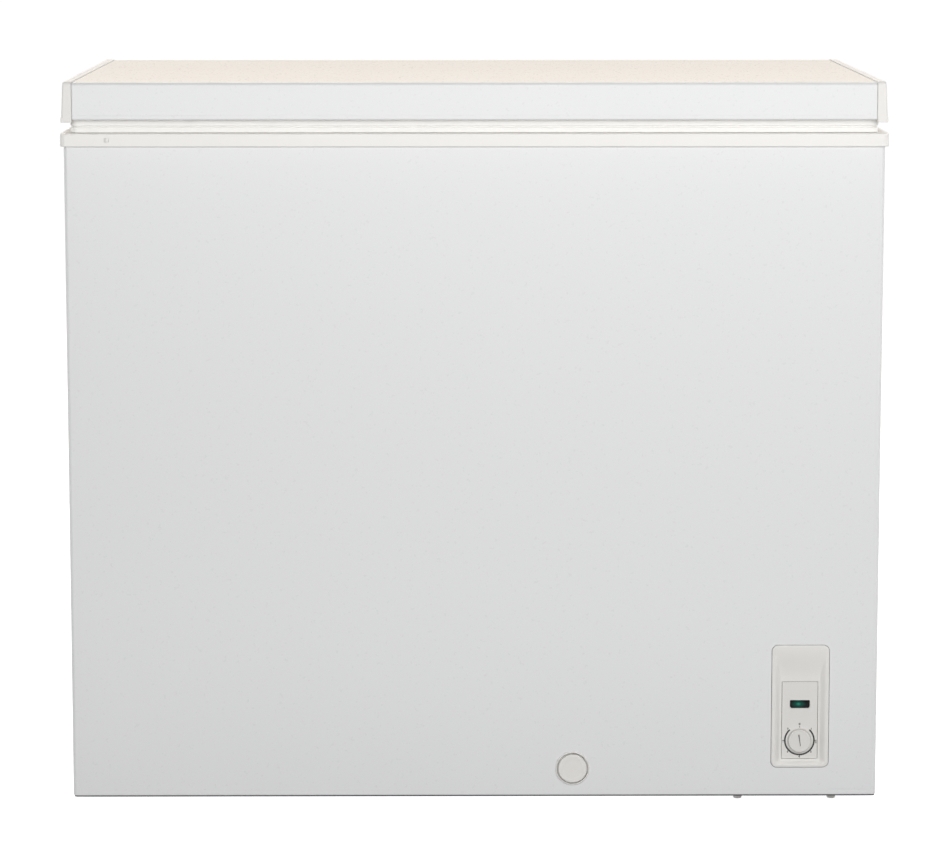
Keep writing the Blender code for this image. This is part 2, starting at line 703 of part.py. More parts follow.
def grilles():
    """The slotted rear cover of the compartment and the vent in the right side."""
    reach = 2 * PAST
    cover = box("rear_grille", (BAY_LEFT + 0.0005, REAR - SHEET, PAN_Z + 0.0005),
                (CABINET_HALF - SHEET - GAP, REAR + 0.0016, BAY_TOP - 0.0005))
    cut(
        cover,
        *slots("rear_slot", (0.262, 0.075), (0.456, 0.245), 2, 8, 0.008,
               lambda end, u, z: (u, REAR - PAST + reach * end, z)),
        rod("gland_hole", (GLAND_X, REAR - PAST, GLAND_Z), (GLAND_X, REAR + PAST, GLAND_Z), GLAND_HOLE),
    )
    finish(cover, galvanised)
    vent = box("side_grille", (CABINET_HALF + GAP, VENT_Y[0], VENT_Z[0]),
               (CABINET_HALF + 0.0025, VENT_Y[1], VENT_Z[1]))
    border = VENT_LAP + SLOT_MARGIN
    cut(vent, *slots("side_slot", (VENT_Y[0] + border - 0.002, VENT_Z[0] + border),
                     (VENT_Y[1] - border + 0.002, VENT_Z[1] - border), 2, 7, 0.006,
                     lambda end, u, z: (CABINET_HALF - PAST + reach * end, u, z)))
    finish(vent, white_plastic)
    flange, neck, bore, high, face = 0.012, 0.008, 0.0045, 0.006, 0.0023
    profile = [(bore, -high), (bore, high), (neck, high), (neck, -face), (flange, -face), (flange, -high)]
    finish(turned("cord_gland", profile, (GLAND_X, REAR, GLAND_Z), "-Y", 20), black_plastic)


# ---------------------------------------------------------------- controls and drain


def control_panel():
    """The dished bezel, the plate set back in it, and the indicator."""
    half_x, half_z = BEZEL
    hole_x, hole_z = PANEL_HOLE[0] - GAP, PANEL_HOLE[1] - GAP
    inner_x, inner_z = FACIA[0] + GAP, FACIA[1] + GAP
    edge, border = 0.00045, 0.0030
    rings = [
        panel_ring(BEZEL_Z, half_x, half_z, 0.007, FRONT - GAP),
        panel_ring(BEZEL_Z, half_x - edge, half_z - edge, 0.0066, BEZEL_FACE + 0.0002),
        panel_ring(BEZEL_Z, half_x - border, half_z - border, 0.0045, BEZEL_FACE),
        panel_ring(PLATE_Z, inner_x, inner_z, 0.001, PLATE_FACE - 0.0002),
        panel_ring(PLATE_Z, inner_x, inner_z, 0.001, PLATE_BACK),
        panel_ring(BEZEL_Z, hole_x, hole_z, 0.005, PLATE_BACK),
        panel_ring(BEZEL_Z, hole_x, hole_z, 0.005, FRONT - GAP),
    ]
    finish(loft("control_bezel", rings[::-1], "loop"), grey_plastic)
    half_x, half_z = FACIA
    facia = box("control_plate", (PANEL_X - half_x, PLATE_FACE, PLATE_Z - half_z),
                (PANEL_X + half_x, PLATE_BACK, PLATE_Z + half_z))
    lens_x, lens_z = LENS
    cut(
        facia,
        rod("nose_hole", (PANEL_X, PLATE_FACE - PAST, KNOB_Z), (PANEL_X, PLATE_BACK + PAST, KNOB_Z),
            NOSE_RADIUS + GAP, 20),
        box("lens_window", (PANEL_X - lens_x - GAP, PLATE_FACE - PAST, LENS_Z - lens_z - GAP),
            (PANEL_X + lens_x + GAP, PLATE_BACK + PAST, LENS_Z + lens_z + GAP)),
    )
    finish(facia, grey_plastic)
    lens = box("indicator_lens", (PANEL_X - lens_x, PLATE_FACE - 0.0005, LENS_Z - lens_z),
               (PANEL_X + lens_x, PLATE_BACK + 0.001, LENS_Z + lens_z))
    finish(bevel(lens, 0.0006, 1), green_lens)
    lamp = [(0, 0.0145), (0.002, 0.0140), (0.003, 0.0120), (0.003, 0), (0, 0)]
    finish(turned("indicator_lamp", lamp, (PANEL_X, PLATE_BACK + 0.016, LENS_Z), "-Y", 16), green_lens)


def thermostat():
    """The thermostat behind the plate, and the knob that turns its shaft."""
    half, deep = 0.018, 0.040
    body = box("thermostat_body", (PANEL_X - half, PLATE_BACK + GAP, KNOB_Z - half),
               (PANEL_X + half, PLATE_BACK + deep, KNOB_Z + half))
    nose = rod("thermostat_nose", (PANEL_X, PLATE_FACE, KNOB_Z), (PANEL_X, PLATE_BACK + PAST, KNOB_Z),
               NOSE_RADIUS, 20)
    bore_radius, bore_end = SHAFT_RADIUS + GAP, PLATE_FACE + SHAFT_END + 0.0005
    bore = rod("thermostat_bore", (PANEL_X, FRONT, KNOB_Z), (PANEL_X, bore_end, KNOB_Z), bore_radius, 16)
    finish(cut(join(body, nose), bore), galvanised)
    axis = (PANEL_X, PLATE_FACE, KNOB_Z)
    shaft_top = KNOB_POCKET - GAP
    shaft = [(0, shaft_top), (SHAFT_RADIUS, shaft_top), (SHAFT_RADIUS, -SHAFT_END), (0, -SHAFT_END)]
    finish(turned("thermostat_shaft", shaft, axis, "-Y", 16), zinc)
    edge = 0.0008
    knob = [
        (0, KNOB_HIGH), (KNOB_RADIUS - edge, KNOB_HIGH), (KNOB_RADIUS - 0.0003, KNOB_HIGH - edge),
        (KNOB_RADIUS, GAP), (bore_radius, GAP), (bore_radius, KNOB_POCKET), (0, KNOB_POCKET),
    ]
    finish(turned("thermostat_knob", knob, axis, "-Y", 28), grey_plastic)


def drain():
    """The drain from the tub floor: elbow, collar, sliding tube, turning cap and floor plug."""
    elbow = rod("drain_elbow", (DRAIN_X, DRAIN_Y, DRAIN_Z - ELBOW_DROP),
                (DRAIN_X, DRAIN_Y, TUB_FLOOR - LINER - GAP), ELBOW)
    run = rod("elbow_run", (DRAIN_X, DRAIN_Y, DRAIN_Z), (DRAIN_X, FRONT + SHEET + GAP, DRAIN_Z), ELBOW_RUN)
    socket = rod("elbow_socket", (DRAIN_X, DRAIN_Y, DRAIN_Z), (DRAIN_X, DRAIN_Y, TUB_FLOOR + PAST), 0.0102)
    bore = rod("elbow_bore", (DRAIN_X, DRAIN_Y + 0.004, DRAIN_Z), (DRAIN_X, FRONT - PAST, DRAIN_Z), 0.0085)
    finish(cut(join(elbow, run), socket, bore), white_plastic)
    hub = (DRAIN_X, FRONT, DRAIN_Z)
    land, wall, step = 0.0010, 0.0007, DRAIN_BORE + 0.0026
    collar = [
        (DRAIN_LIP - 0.0006, 0.0016), (DRAIN_LIP, 0.0009), (DRAIN_LIP, GAP), (DRAIN_WELL, GAP),
        (DRAIN_WELL, -DRAIN_DEEP), (step, -DRAIN_DEEP), (step, GAP), (DRAIN_BORE, GAP),
        (DRAIN_BORE, land), (step + wall, land), (step + wall, wall - DRAIN_DEEP),
        (DRAIN_WELL - wall, wall - DRAIN_DEEP), (DRAIN_WELL - wall, land),
    ]
    finish(turned("drain_collar", collar, hub, "-Y", 24), grey_plastic)
    outer, inner, pipe_end = 0.0078, 0.0062, -0.075
    pipe = [(outer, land), (outer, pipe_end), (inner, pipe_end), (inner, land)]
    finish(turned("drain_tube", pipe, hub, "-Y"), white_plastic)
    rim, stem, low, high, stem_end = 0.0166, inner - 0.0006, land + GAP, 0.0038, -0.008
    dial = [
        (0, high), (rim - 0.0014, high), (rim - 0.0002, high - 0.0008), (rim, low),
        (stem, low), (stem, stem_end), (0, stem_end),
    ]
    finish(turned("drain_dial", dial, hub, "-Y", 24), grey_plastic)
    grip, seal, brim, high, low = 0.004, 0.0095, 0.014, 0.010, -0.012
    plug = [
        (0, high), (grip, high), (grip + 0.001, 0.003), (brim, 0.0025), (brim, 0),
        (seal + 0.0002, 0), (seal, low), (0, low),
    ]
    finish(turned("floor_drain_plug", plug, (DRAIN_X, DRAIN_Y, TUB_FLOOR + GAP)), rubber)


# ---------------------------------------------------------------- lid and hinges


def lid():
    """The lid: folded panel, end caps, foam, liner and gasket, on one pivot."""
    pivot = empty("lid_pivot", (0, PIVOT_Y, PIVOT_Z))
    inner_half = LID_HALF - CAP_WIDTH - GAP
    front, rear, top = LID_FRONT + PANEL_INSET, LID_REAR - PANEL_INSET, LID_TOP - 0.001
    folds = [
        (-inner_half, rear - 0.0124, HEM_Z), (-inner_half, rear, HEM_Z), (-inner_half, rear, top),
        (-inner_half, front, top), (-inner_half, front, HEM_Z), (-inner_half, front + 0.0075, HEM_Z),
    ]
    path = [Vector(p) for p in folds[:2]] + fillet(folds[1:5], FOLD, 4)[1:-1] + [Vector(p) for p in folds[4:]]
    panel = finish(sheet("lid_panel", path, (2 * inner_half, 0, 0), SHEET, -1), white_paint)
    caps = [end_cap(side, sign) for side, sign in (("left", -1), ("right", 1))]
    foam_half = LID_HALF - CAP_WALL - GAP
    foam_y = (LID_FRONT + CAP_WALL + GAP, LID_REAR - CAP_WALL - GAP)
    top_z = LID_TOP - CAP_WALL - GAP
    block = box("lid_foam", (-foam_half, foam_y[0], LID_LINER_Z + GAP), (foam_half, foam_y[1], top_z))
    filling = finish(bevel(block, FOLD / 2, 2), foam)
    rings = [
        tub_ring(0.0645, 0.0608, 0.006, LID_LINER_Z),
        tub_ring(0.036, 0.036, 0.030, LID_LINER_Z),
        tub_ring(0.033, 0.033, 0.028, LID_LINER_Z - 0.0015),
        tub_ring(0.029, 0.029, 0.026, LID_LINER_Z - 0.0115),
        tub_ring(0.024, 0.024, 0.022, LID_LINER_Z - 0.0128),
    ]
    pan = loft("lid_liner", [ring[::-1] for ring in rings], "last")
    pan = finish(solidify(pan, LID_LINER, 1), white_plastic)
    low = RIM_TOP + GAP
    profile = [
        (GASKET_IN, low + 0.0006), (GASKET_OUT - 0.0006, low), (GASKET_OUT, low + 0.0006),
        (GASKET_OUT, low + 0.0056), (GASKET_OUT - 0.0025, low + 0.0066), (GASKET_OUT, low + 0.0076),
        (GASKET_OUT, GASKET_TOP), (GASKET_IN + 0.002, GASKET_TOP), (GASKET_IN + 0.002, low + 0.0080),
        (GASKET_IN, low + 0.0056),
    ]
    seal = loft("lid_gasket", [tub_ring(out, out, 0.008, z) for out, z in profile], "loop")
    finish(seal, gasket_white)
    arms = [hinge_arm(side, x) for side, x in zip(("left", "right"), HINGE_X)]
    carry(pivot, panel, *caps, filling, pan, seal, *arms)


def end_cap(side, sign):
    """A moulded lid end, open towards the panel and below."""
    inner, outer = LID_HALF - CAP_WIDTH, LID_HALF
    xs = sorted((sign * inner, sign * outer))
    cap = box("lid_end_cap_" + side, (xs[0], LID_FRONT, CAP_BOTTOM), (xs[1], LID_REAR, LID_TOP))
    bevel(cap, 0.0015, 2)
    hollow = sorted((sign * (inner - 0.01), sign * (outer - CAP_WALL)))
    pocket = box("cap_pocket_" + side, (hollow[0], LID_FRONT + CAP_WALL, CAP_BOTTOM - 0.01),
                 (hollow[1], LID_REAR - CAP_WALL, LID_TOP - CAP_WALL))
    return finish(cut(cap, pocket), white_plastic)


def cam_centre():
    """Where the cam bar stands with the lid closed, as (y, z)."""
    return PIVOT_Y - CAM_ARM * math.cos(CAM_DROP), PIVOT_Z - CAM_ARM * math.sin(CAM_DROP)


def hinge_arm(side, x):
    """The leaf on the lid's rear face, with two ears round the pin and a cam bar between them."""
    leaf_y = LID_REAR + GAP
    half, low, high, lap = 0.0205, 0.8000, 0.8340, 0.0004
    leaf = box("hinge_arm_" + side, (x - half, leaf_y, low), (x + half, leaf_y + EAR, high))
    rounding = circle((PIVOT_Y, PIVOT_Z), EAR_RADIUS, 12, math.pi * 1.05, math.pi * 1.1)
    outline = [(leaf_y + lap, high - 0.0015), (leaf_y + lap, low + 0.001)] + rounding
    outline.append((leaf_y + 0.006, high - 0.0015))
    hole = circle((PIVOT_Y, PIVOT_Z), PIN_RADIUS + GAP, 16)
    for i, sign in enumerate((-1, 1)):
        join(leaf, plate(f"arm_ear_{side}_{i}", [outline, hole], x + sign * (half + EAR / 6), EAR))
    y, z = cam_centre()
    join(leaf, rod("cam_bar_" + side, (x - half, y, z), (x + half, y, z), CAM_RADIUS, 12))
    return finish(leaf, zinc)


def hinge_fixed(side, x):
    """The bracket on the rear panel, its pin, spring and cover."""
    back = REAR + GAP
    half, foot, lap = 0.0235, 0.655, 0.0004
    bracket = box("hinge_bracket_" + side, (x - half, back, foot),
                  (x + half, back + EAR, RIM_BOTTOM - 0.0015))
    crown = circle((PIVOT_Y, PIVOT_Z), EAR_RADIUS, 12, -0.25, math.pi + 0.35)
    outline = [(back + lap, foot + 0.0005), (0.2750, foot + 0.0005)] + crown
    outline += [(0.2545, RIM_BOTTOM - 0.002), (back + lap, RIM_BOTTOM - 0.002)]
    hole = circle((PIVOT_Y, PIVOT_Z), PIN_RADIUS + GAP, 16)
    for i, sign in enumerate((-1, 1)):
        join(bracket, plate(f"bracket_ear_{side}_{i}", [outline, hole], x + sign * (half - EAR / 6), EAR))
    shelf = half - EAR / 2 + 0.00005
    join(bracket, box("bracket_shelf_" + side, (x - shelf, back + 0.0006, SHELF_Z - EAR),
                      (x + shelf, 0.2735, SHELF_Z)))
    finish(bracket, zinc)
    shank, head, head_radius = half + 0.0008, 0.0014, 0.0042
    pin = [
        (0, shank + head), (head_radius, shank + head), (head_radius, shank),
        (PIN_RADIUS, shank), (PIN_RADIUS, -shank - GAP), (0, -shank - GAP),
    ]
    finish(turned("hinge_pin_" + side, pin, (x, PIVOT_Y, PIVOT_Z), "X", 16), zinc)
    y = cam_centre()[0] - 0.001
    turns, points_per_turn, coil_radius, wire = 5, 8, 0.0052, 0.0009
    low, high = SHELF_Z + GAP + wire, PLUNGER_FOOT - GAP - wire
    steps = turns * points_per_turn
    coil = []
    for i in range(steps + 1):
        angle = 2 * math.pi * i / points_per_turn
        height = low + (high - low) * i / steps
        coil.append((x + coil_radius * math.cos(angle), y + coil_radius * math.sin(angle), height))
    finish(tube("hinge_spring_" + side, coil, wire), zinc)
    hood_half, hood_low, wall = 0.0275, 0.650, 0.002
    hood = box("hinge_cover_" + side, (x - hood_half, back, hood_low),
               (x + hood_half, HINGE_REAR, RIM_BOTTOM - GAP))
    bevel(hood, 0.003, 2)
    cut(hood, box("cover_inside_" + side, (x - hood_half + wall, back - PAST, hood_low + wall),
                  (x + hood_half - wall, HINGE_REAR - wall, RIM_BOTTOM + PAST)))
    finish(hood, white_plastic)


def hinge_plunger(side, x):
    """The sprung plunger that follows the arm's cam bar."""
    cam_y, cam_z = cam_centre()
    y = cam_y - 0.001
    top = cam_z - CAM_RADIUS - 0.0006
    shoulder, radius = 0.765, 0.0075
    body = rod("hinge_plunger_" + side, (0, 0, PLUNGER_FOOT - top), (0, 0, shoulder - top), radius, 20)
    body.location = (x, y, top)
    tongue_x, tongue_y = 0.008, 0.003
    join(body, box("plunger_tongue_" + side, (x - tongue_x, y - tongue_y, shoulder - 0.001),
                   (x + tongue_x, y + tongue_y, top)))
    finish(body, black_plastic)


# ---------------------------------------------------------------- basket


def storage_basket():
    """A hanging wire basket: an open grid box with hooking loops on the rim's ledges."""
    top = LEDGE_Z + GAP + BASKET_BAR / 2
    xs = [BASKET_LEFT + (BASKET_RIGHT - BASKET_LEFT) * i / 4 for i in range(5)]
    ys = [BASKET_FRONT + (BASKET_REAR - BASKET_FRONT) * i / 4 for i in range(5)]
    zs = [BASKET_BOTTOM + (top - BASKET_BOTTOM) * i / 2 for i in range(3)]
    bm = bmesh.new()

    def grid(us, vs, place):
        for u0, u1 in zip(us, us[1:]):
            for v0, v1 in zip(vs, vs[1:]):
                corners = [place(u0, v0), place(u1, v0), place(u1, v1), place(u0, v1)]
                bm.faces.new([bm.verts.new(c) for c in corners])

    grid(xs, ys, lambda x, y: (x, y, BASKET_BOTTOM))
    for x in (BASKET_LEFT, BASKET_RIGHT):
        grid(ys, zs, lambda y, z, x=x: (x, y, z))
    for y, out in ((BASKET_FRONT, -HOOK_REACH), (BASKET_REAR, HOOK_REACH)):
        grid(xs, zs, lambda x, z, y=y: (x, y, z))
        for i in (0, 3):
            grid(xs[i:i + 2], (0, 1), lambda x, s, y=y, out=out: (x, y + s * out, top))
    bmesh.ops.remove_doubles(bm, verts=bm.verts, dist=0.0001)
    bmesh.ops.recalc_face_normals(bm, faces=bm.faces)
    basket = mesh_object("storage_basket", bm)
    wires = basket.modifiers.new("wires", "WIREFRAME")
    wires.thickness = BASKET_BAR
    wires.use_boundary = True
    wires.use_even_offset = True
    wires.use_replace = True
    finish(basket, coated_wire)


for build in (
    cabinet_wrapper, rear_panel, base_pan, inner_liner, cabinet_foam, rim_frame, feet,
    evaporator_coil, condenser_coil, compressor_plate, compressor, compartment_tubes, grilles,
    control_panel, thermostat, drain, lid, storage_basket,
):
    build()
for hinge_side, hinge_x in zip(("left", "right"), HINGE_X):
    hinge_fixed(hinge_side, hinge_x)
    hinge_plunger(hinge_side, hinge_x)
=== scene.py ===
"""The chest freezer's looks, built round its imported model. Metres, +Z up, front towards -Y."""

import math
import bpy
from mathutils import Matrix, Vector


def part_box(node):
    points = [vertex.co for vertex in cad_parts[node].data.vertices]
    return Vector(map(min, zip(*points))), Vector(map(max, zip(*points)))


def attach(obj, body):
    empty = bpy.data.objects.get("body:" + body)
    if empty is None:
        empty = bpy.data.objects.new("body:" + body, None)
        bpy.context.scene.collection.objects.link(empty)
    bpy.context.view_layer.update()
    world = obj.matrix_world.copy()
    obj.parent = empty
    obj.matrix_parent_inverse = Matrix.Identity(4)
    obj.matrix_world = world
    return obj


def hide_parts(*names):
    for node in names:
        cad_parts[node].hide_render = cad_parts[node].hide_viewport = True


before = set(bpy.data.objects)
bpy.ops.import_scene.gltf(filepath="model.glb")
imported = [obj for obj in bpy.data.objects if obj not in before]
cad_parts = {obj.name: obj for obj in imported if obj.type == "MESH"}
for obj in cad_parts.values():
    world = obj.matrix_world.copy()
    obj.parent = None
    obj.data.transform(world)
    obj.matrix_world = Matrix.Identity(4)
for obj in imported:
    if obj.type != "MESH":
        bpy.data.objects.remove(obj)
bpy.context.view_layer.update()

from types import SimpleNamespace

import bmesh
import bpy
from mathutils import Matrix, Vector

SHEET = 0.0008               # painted steel sheet
SEAM = 0.0003                # clearance between pieces that touch
PAST = 0.01                  # how far a cutter runs past what it cuts
SHARP = math.radians(38)     # edges steeper than this stay crisp

# ---------------------------------------------------------------- places taken from the frame


def span(node):
    """A node's box: its low and high corners, also as x0 to z1, and its middle."""
    low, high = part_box(node)
    middle = (low + high) / 2
    return SimpleNamespace(
        low=low, high=high, x0=low.x, x1=high.x, y0=low.y, y1=high.y, z0=low.z, z1=high.z,
        x=middle.x, y=middle.y, z=middle.z,
    )


WRAP = span("cabinet_wrapper")
RIM = span("rim_frame")
TUB = span("inner_liner")
GASKET = span("lid_gasket")
PANEL = span("lid_panel")
LID_PAN = span("lid_liner")
REAR_SHEET = span("rear_panel")
BEZEL = span("control_bezel")
PLATE = span("control_plate")
LENS = span("indicator_lens")
KNOB = span("thermostat_knob")
DIAL = span("drain_dial")
COLLAR = span("drain_collar")
BASKET = span("storage_basket")
REAR_GRILLE = span("rear_grille")
SIDE_GRILLE = span("side_grille")
CAN = span("compressor")

FRONT = WRAP.y0              # outer face of the front sheet
TUB_THICK = 0.001
TUB_HALF = TUB.x1 - TUB_THICK                       # to its inside faces, as is TUB_HALF_Y
TUB_HALF_Y = (TUB.y1 - TUB.y0) / 2 - TUB_THICK
TUB_Y = TUB.y
TUB_CORNER = 0.025
STEP_X, STEP_Z = 0.185, 0.325                       # left side and top of the tub's step
BEZEL_CORNER = 0.007
RIM_FOOT = 0.768             # lower edge of the collar's outer skirt
WELL = 0.0190                # radius of the drain collar's sunk well

# ---------------------------------------------------------------- materials


class Look:
    """A procedural material, its nodes added one call at a time."""

    def __init__(self, name, colour, roughness, metallic=0.0):
        self.name = name
        self.material = bpy.data.materials.new(name)
        self.material.use_nodes = True
        self.tree = self.material.node_tree
        self.shader = self.tree.nodes["Principled BSDF"]
        self.shader.inputs["Base Color"].default_value = (*colour, 1.0)
        self.shader.inputs["Roughness"].default_value = roughness
        self.shader.inputs["Metallic"].default_value = metallic
        self.colour = colour
        self.metres = self.node("ShaderNodeTexCoord").outputs["Object"]
        self.normal = None

    def node(self, kind, inputs=None, **settings):
        made = self.tree.nodes.new(kind)
        for name, value in settings.items():
            setattr(made, name, value)
        for name, value in (inputs or {}).items():
            if isinstance(value, bpy.types.NodeSocket):
                self.tree.links.new(value, made.inputs[name])
            else:
                made.inputs[name].default_value = value
        return made

    def set(self, **values):
        """Sets the shader's own sockets; an underscore in a name stands for a space."""
        for name, value in values.items():
            self.shader.inputs[name.replace("_", " ")].default_value = value
        return self

    def stretched(self, factors):
        """The object's coordinates, scaled differently along each axis."""
        return self.node("ShaderNodeMapping", {"Vector": self.metres, "Scale": factors}).outputs[0]

    def noise(self, scale, detail=2.0, rough=0.5, place=None):
        settings = {"Vector": place or self.metres, "Scale": scale, "Detail": detail, "Roughness": rough}
        return self.node("ShaderNodeTexNoise", settings).outputs["Fac"]

    def cells(self, scale, feature="F1", output="Distance"):
        return self.node("ShaderNodeTexVoronoi", {"Vector": self.metres, "Scale": scale},
                         feature=feature).outputs[output]

    def range(self, value, low, high, to_low=0.0, to_high=1.0):
        settings = {"Value": value, "From Min": low, "From Max": high, "To Min": to_low, "To Max": to_high}
        return self.node("ShaderNodeMapRange", settings, clamp=True).outputs[0]

    def tint(self, share, other, amount=1.0):
        """Mixes the base colour towards another where share is high."""
        socket = self.shader.inputs["Base Color"]
        below = socket.links[0].from_socket if socket.links else (*self.colour, 1.0)
        scaled = self.node("ShaderNodeMath", {0: share, 1: amount}, operation="MULTIPLY").outputs[0]
        values = {"Factor": scaled, 6: below, 7: (*other, 1.0)}
        mix = self.node("ShaderNodeMix", values, data_type="RGBA")
        self.tree.links.new(mix.outputs[2], socket)
        return self

    def rough(self, value, low, high):
        self.tree.links.new(self.range(value, 0.3, 0.7, low, high), self.shader.inputs["Roughness"])
        return self

    def bump(self, height, distance, strength=1.0):
        """Adds a relief of that depth in metres to those before it."""
        inputs = {"Height": height, "Distance": distance, "Strength": strength}
        if self.normal:
            inputs["Normal"] = self.normal
        self.normal = self.node("ShaderNodeBump", inputs).outputs[0]
        self.tree.links.new(self.normal, self.shader.inputs["Normal"])
        return self


def painted(name, colour, roughness, tone):
    """Baked enamel: faint orange peel, a slow darker drift that is painted shade standing in for the sheet's
    waviness, and a slight fine drift in tone.
    """
    look = Look(name, colour, roughness)
    look.set(Coat_Weight=0.25, Coat_Roughness=0.12, IOR=1.48)
    # painted shade: this slow darker drift stands in for the shading of the sheet's waviness
    look.tint(look.range(look.noise(1.6, 1), 0.0, 1.0), tone, 0.6)
    look.tint(look.range(look.noise(420, 1), 0.3, 0.9), tone, 0.4)
    look.rough(look.noise(260, 2), roughness - 0.03, roughness + 0.05)
    look.bump(look.noise(380, 2), 0.00006, 0.55)
    return look


def moulded(name, colour, roughness, tone, grain=1500):
    """Injection moulded plastic: a spark-eroded grain and faint flow marks."""
    look = Look(name, colour, roughness)
    flow = look.noise(30, 3, place=look.stretched((1, 1, 0.3)))
    look.tint(look.range(flow, 0.4, 0.7), tone, 0.5)
    look.tint(look.range(look.noise(grain / 2, 2), 0.45, 0.75), tone, 0.35)
    look.rough(look.noise(60, 3), roughness - 0.05, roughness + 0.07)
    look.bump(look.noise(grain, 3, 0.6), 0.00004, 0.6)
    return look


def zinc_sheet(name, colour, roughness):
    """Hot-dip galvanised sheet: spangles that differ in tone and gloss."""
    look = Look(name, colour, roughness, 0.85)
    flake = look.node("ShaderNodeSeparateColor", {0: look.cells(110, output="Color")}).outputs[0]
    look.tint(flake, (0.36, 0.37, 0.38), 0.35)
    look.tint(look.range(look.noise(14, 4), 0.4, 0.8), (0.30, 0.31, 0.32), 0.4)
    look.rough(flake, roughness - 0.04, roughness + 0.08)
    look.bump(look.cells(85, "DISTANCE_TO_EDGE"), 0.00003, 0.4)
    look.bump(look.noise(700, 2), 0.00003, 0.3)
    return look


def plated(name, colour, roughness, stain, stained):
    """Drawn or plated metal: streaks and dull patches."""
    look = Look(name, colour, roughness, 1.0)
    look.tint(look.range(look.noise(35, 4), 0.45, 0.75), stain, stained)
    streaks = look.noise(300, 3, place=look.stretched((1, 1, 0.1)))
    look.tint(look.range(streaks, 0.45, 0.8), stain, stained * 0.6)
    look.rough(look.noise(120, 3), roughness - 0.08, roughness + 0.15)
    look.bump(look.noise(900, 2), 0.00003, 0.4)
    return look


def rubbery(name, colour, roughness, tone):
    """Moulded rubber or vinyl: dull, finely mottled."""
    look = Look(name, colour, roughness)
    look.tint(look.range(look.noise(45, 4), 0.4, 0.75), tone, 0.6)
    look.rough(look.noise(200, 3), roughness - 0.08, roughness + 0.08)
    look.bump(look.noise(1100, 3), 0.00005, 0.5)
    return look


def foamed(name, colour, roughness, tone):
    """Rigid foam: a skin of small cells."""
    look = Look(name, colour, roughness)
    look.tint(look.range(look.cells(700), 0.1, 0.6), tone, 0.8)
    look.tint(look.range(look.noise(18, 3), 0.4, 0.7), tone, 0.5)
    look.bump(look.cells(700), 0.0004, 0.7)
    look.bump(look.noise(60, 3), 0.0008, 0.4)
    return look


def embossed(name, colour, roughness):
    """Stucco-embossed aluminium sheet with a light oxide."""
    look = Look(name, colour, roughness, 0.60)
    look.tint(look.range(look.noise(6, 3), 0.4, 0.7), (0.70, 0.71, 0.73), 0.5)
    look.rough(look.noise(40, 3), roughness - 0.05, roughness + 0.10)
    look.bump(look.cells(230, "SMOOTH_F1"), 0.0006, 0.55)
    look.bump(look.noise(600, 2), 0.00005, 0.4)
    return look


def dusty(name, colour, roughness):
    """Black stoved enamel with dust lying on what faces up."""
    look = Look(name, colour, roughness)
    normal = look.node("ShaderNodeNewGeometry").outputs["Normal"]
    up = look.node("ShaderNodeSeparateXYZ", {0: normal}).outputs[2]
    shares = {0: look.range(up, 0.4, 1.0), 1: look.range(look.noise(90, 4), 0.3, 0.7)}
    lying = look.node("ShaderNodeMath", shares, operation="MULTIPLY").outputs[0]
    look.tint(lying, (0.30, 0.28, 0.26), 0.45)
    look.rough(look.noise(150, 3), roughness - 0.05, roughness + 0.12)
    look.bump(look.noise(420, 2), 0.00008, 0.5)
    return look


def lens_glass():
    """A dark lens with a painted glow of the lit lamp lying left of its middle, brightest at its core."""
    look = Look("green_lens", (0.001, 0.006, 0.005), 0.22)
    look.set(Specular_IOR_Level=0.12)
    squat, glow_x, glow_z = 1.5, LENS.x - 0.0016, LENS.z + 0.0002
    shift = (-glow_x, 0.0, -glow_z * squat)
    settings = {"Vector": look.metres, "Location": shift, "Scale": (1.0, 0.0, squat)}
    place = look.node("ShaderNodeMapping", settings).outputs[0]
    out = look.node("ShaderNodeVectorMath", {0: place}, operation="LENGTH").outputs["Value"]
    # painted glow: the lit lamp's green light painted into the base colour, with a brighter painted core
    look.tint(look.range(out, 0.0088, 0.0045), (0.002, 0.060, 0.042))
    look.tint(look.range(out, 0.0034, 0.0002), (0.030, 0.330, 0.250), 0.8)
    look.bump(look.cells(900), 0.00005, 0.4)
    return look


LOOKS = {look.name: look for look in (
    painted("white_paint", (0.850, 0.855, 0.855), 0.30, (0.820, 0.828, 0.832)),
    moulded("white_plastic", (0.885, 0.868, 0.838), 0.42, (0.860, 0.842, 0.810)),
    moulded("grey_plastic", (0.870, 0.855, 0.825), 0.46, (0.845, 0.828, 0.796), 1100),
    zinc_sheet("galvanised_steel", (0.46, 0.47, 0.48), 0.50),
    dusty("black_paint", (0.020, 0.020, 0.022), 0.32),
    moulded("black_plastic", (0.028, 0.028, 0.029), 0.48, (0.050, 0.050, 0.052)),
    rubbery("black_rubber", (0.030, 0.030, 0.031), 0.78, (0.060, 0.058, 0.055)),
    rubbery("gasket_vinyl", (0.930, 0.920, 0.897), 0.52, (0.905, 0.893, 0.868)),
    foamed("insulation_foam", (0.82, 0.72, 0.47), 0.92, (0.70, 0.58, 0.33)),
    embossed("liner_aluminium", (0.86, 0.87, 0.88), 0.38),
    plated("copper_tube", (0.78, 0.41, 0.26), 0.30, (0.36, 0.17, 0.09), 0.6),
    plated("zinc_steel", (0.70, 0.70, 0.68), 0.34, (0.50, 0.49, 0.44), 0.5),
    lens_glass(),
    moulded("coated_wire", (0.880, 0.880, 0.865), 0.33, (0.84, 0.84, 0.82), 500),
)}
INK = moulded("dial_ink", (0.012, 0.012, 0.013), 0.50, (0.030, 0.030, 0.032))
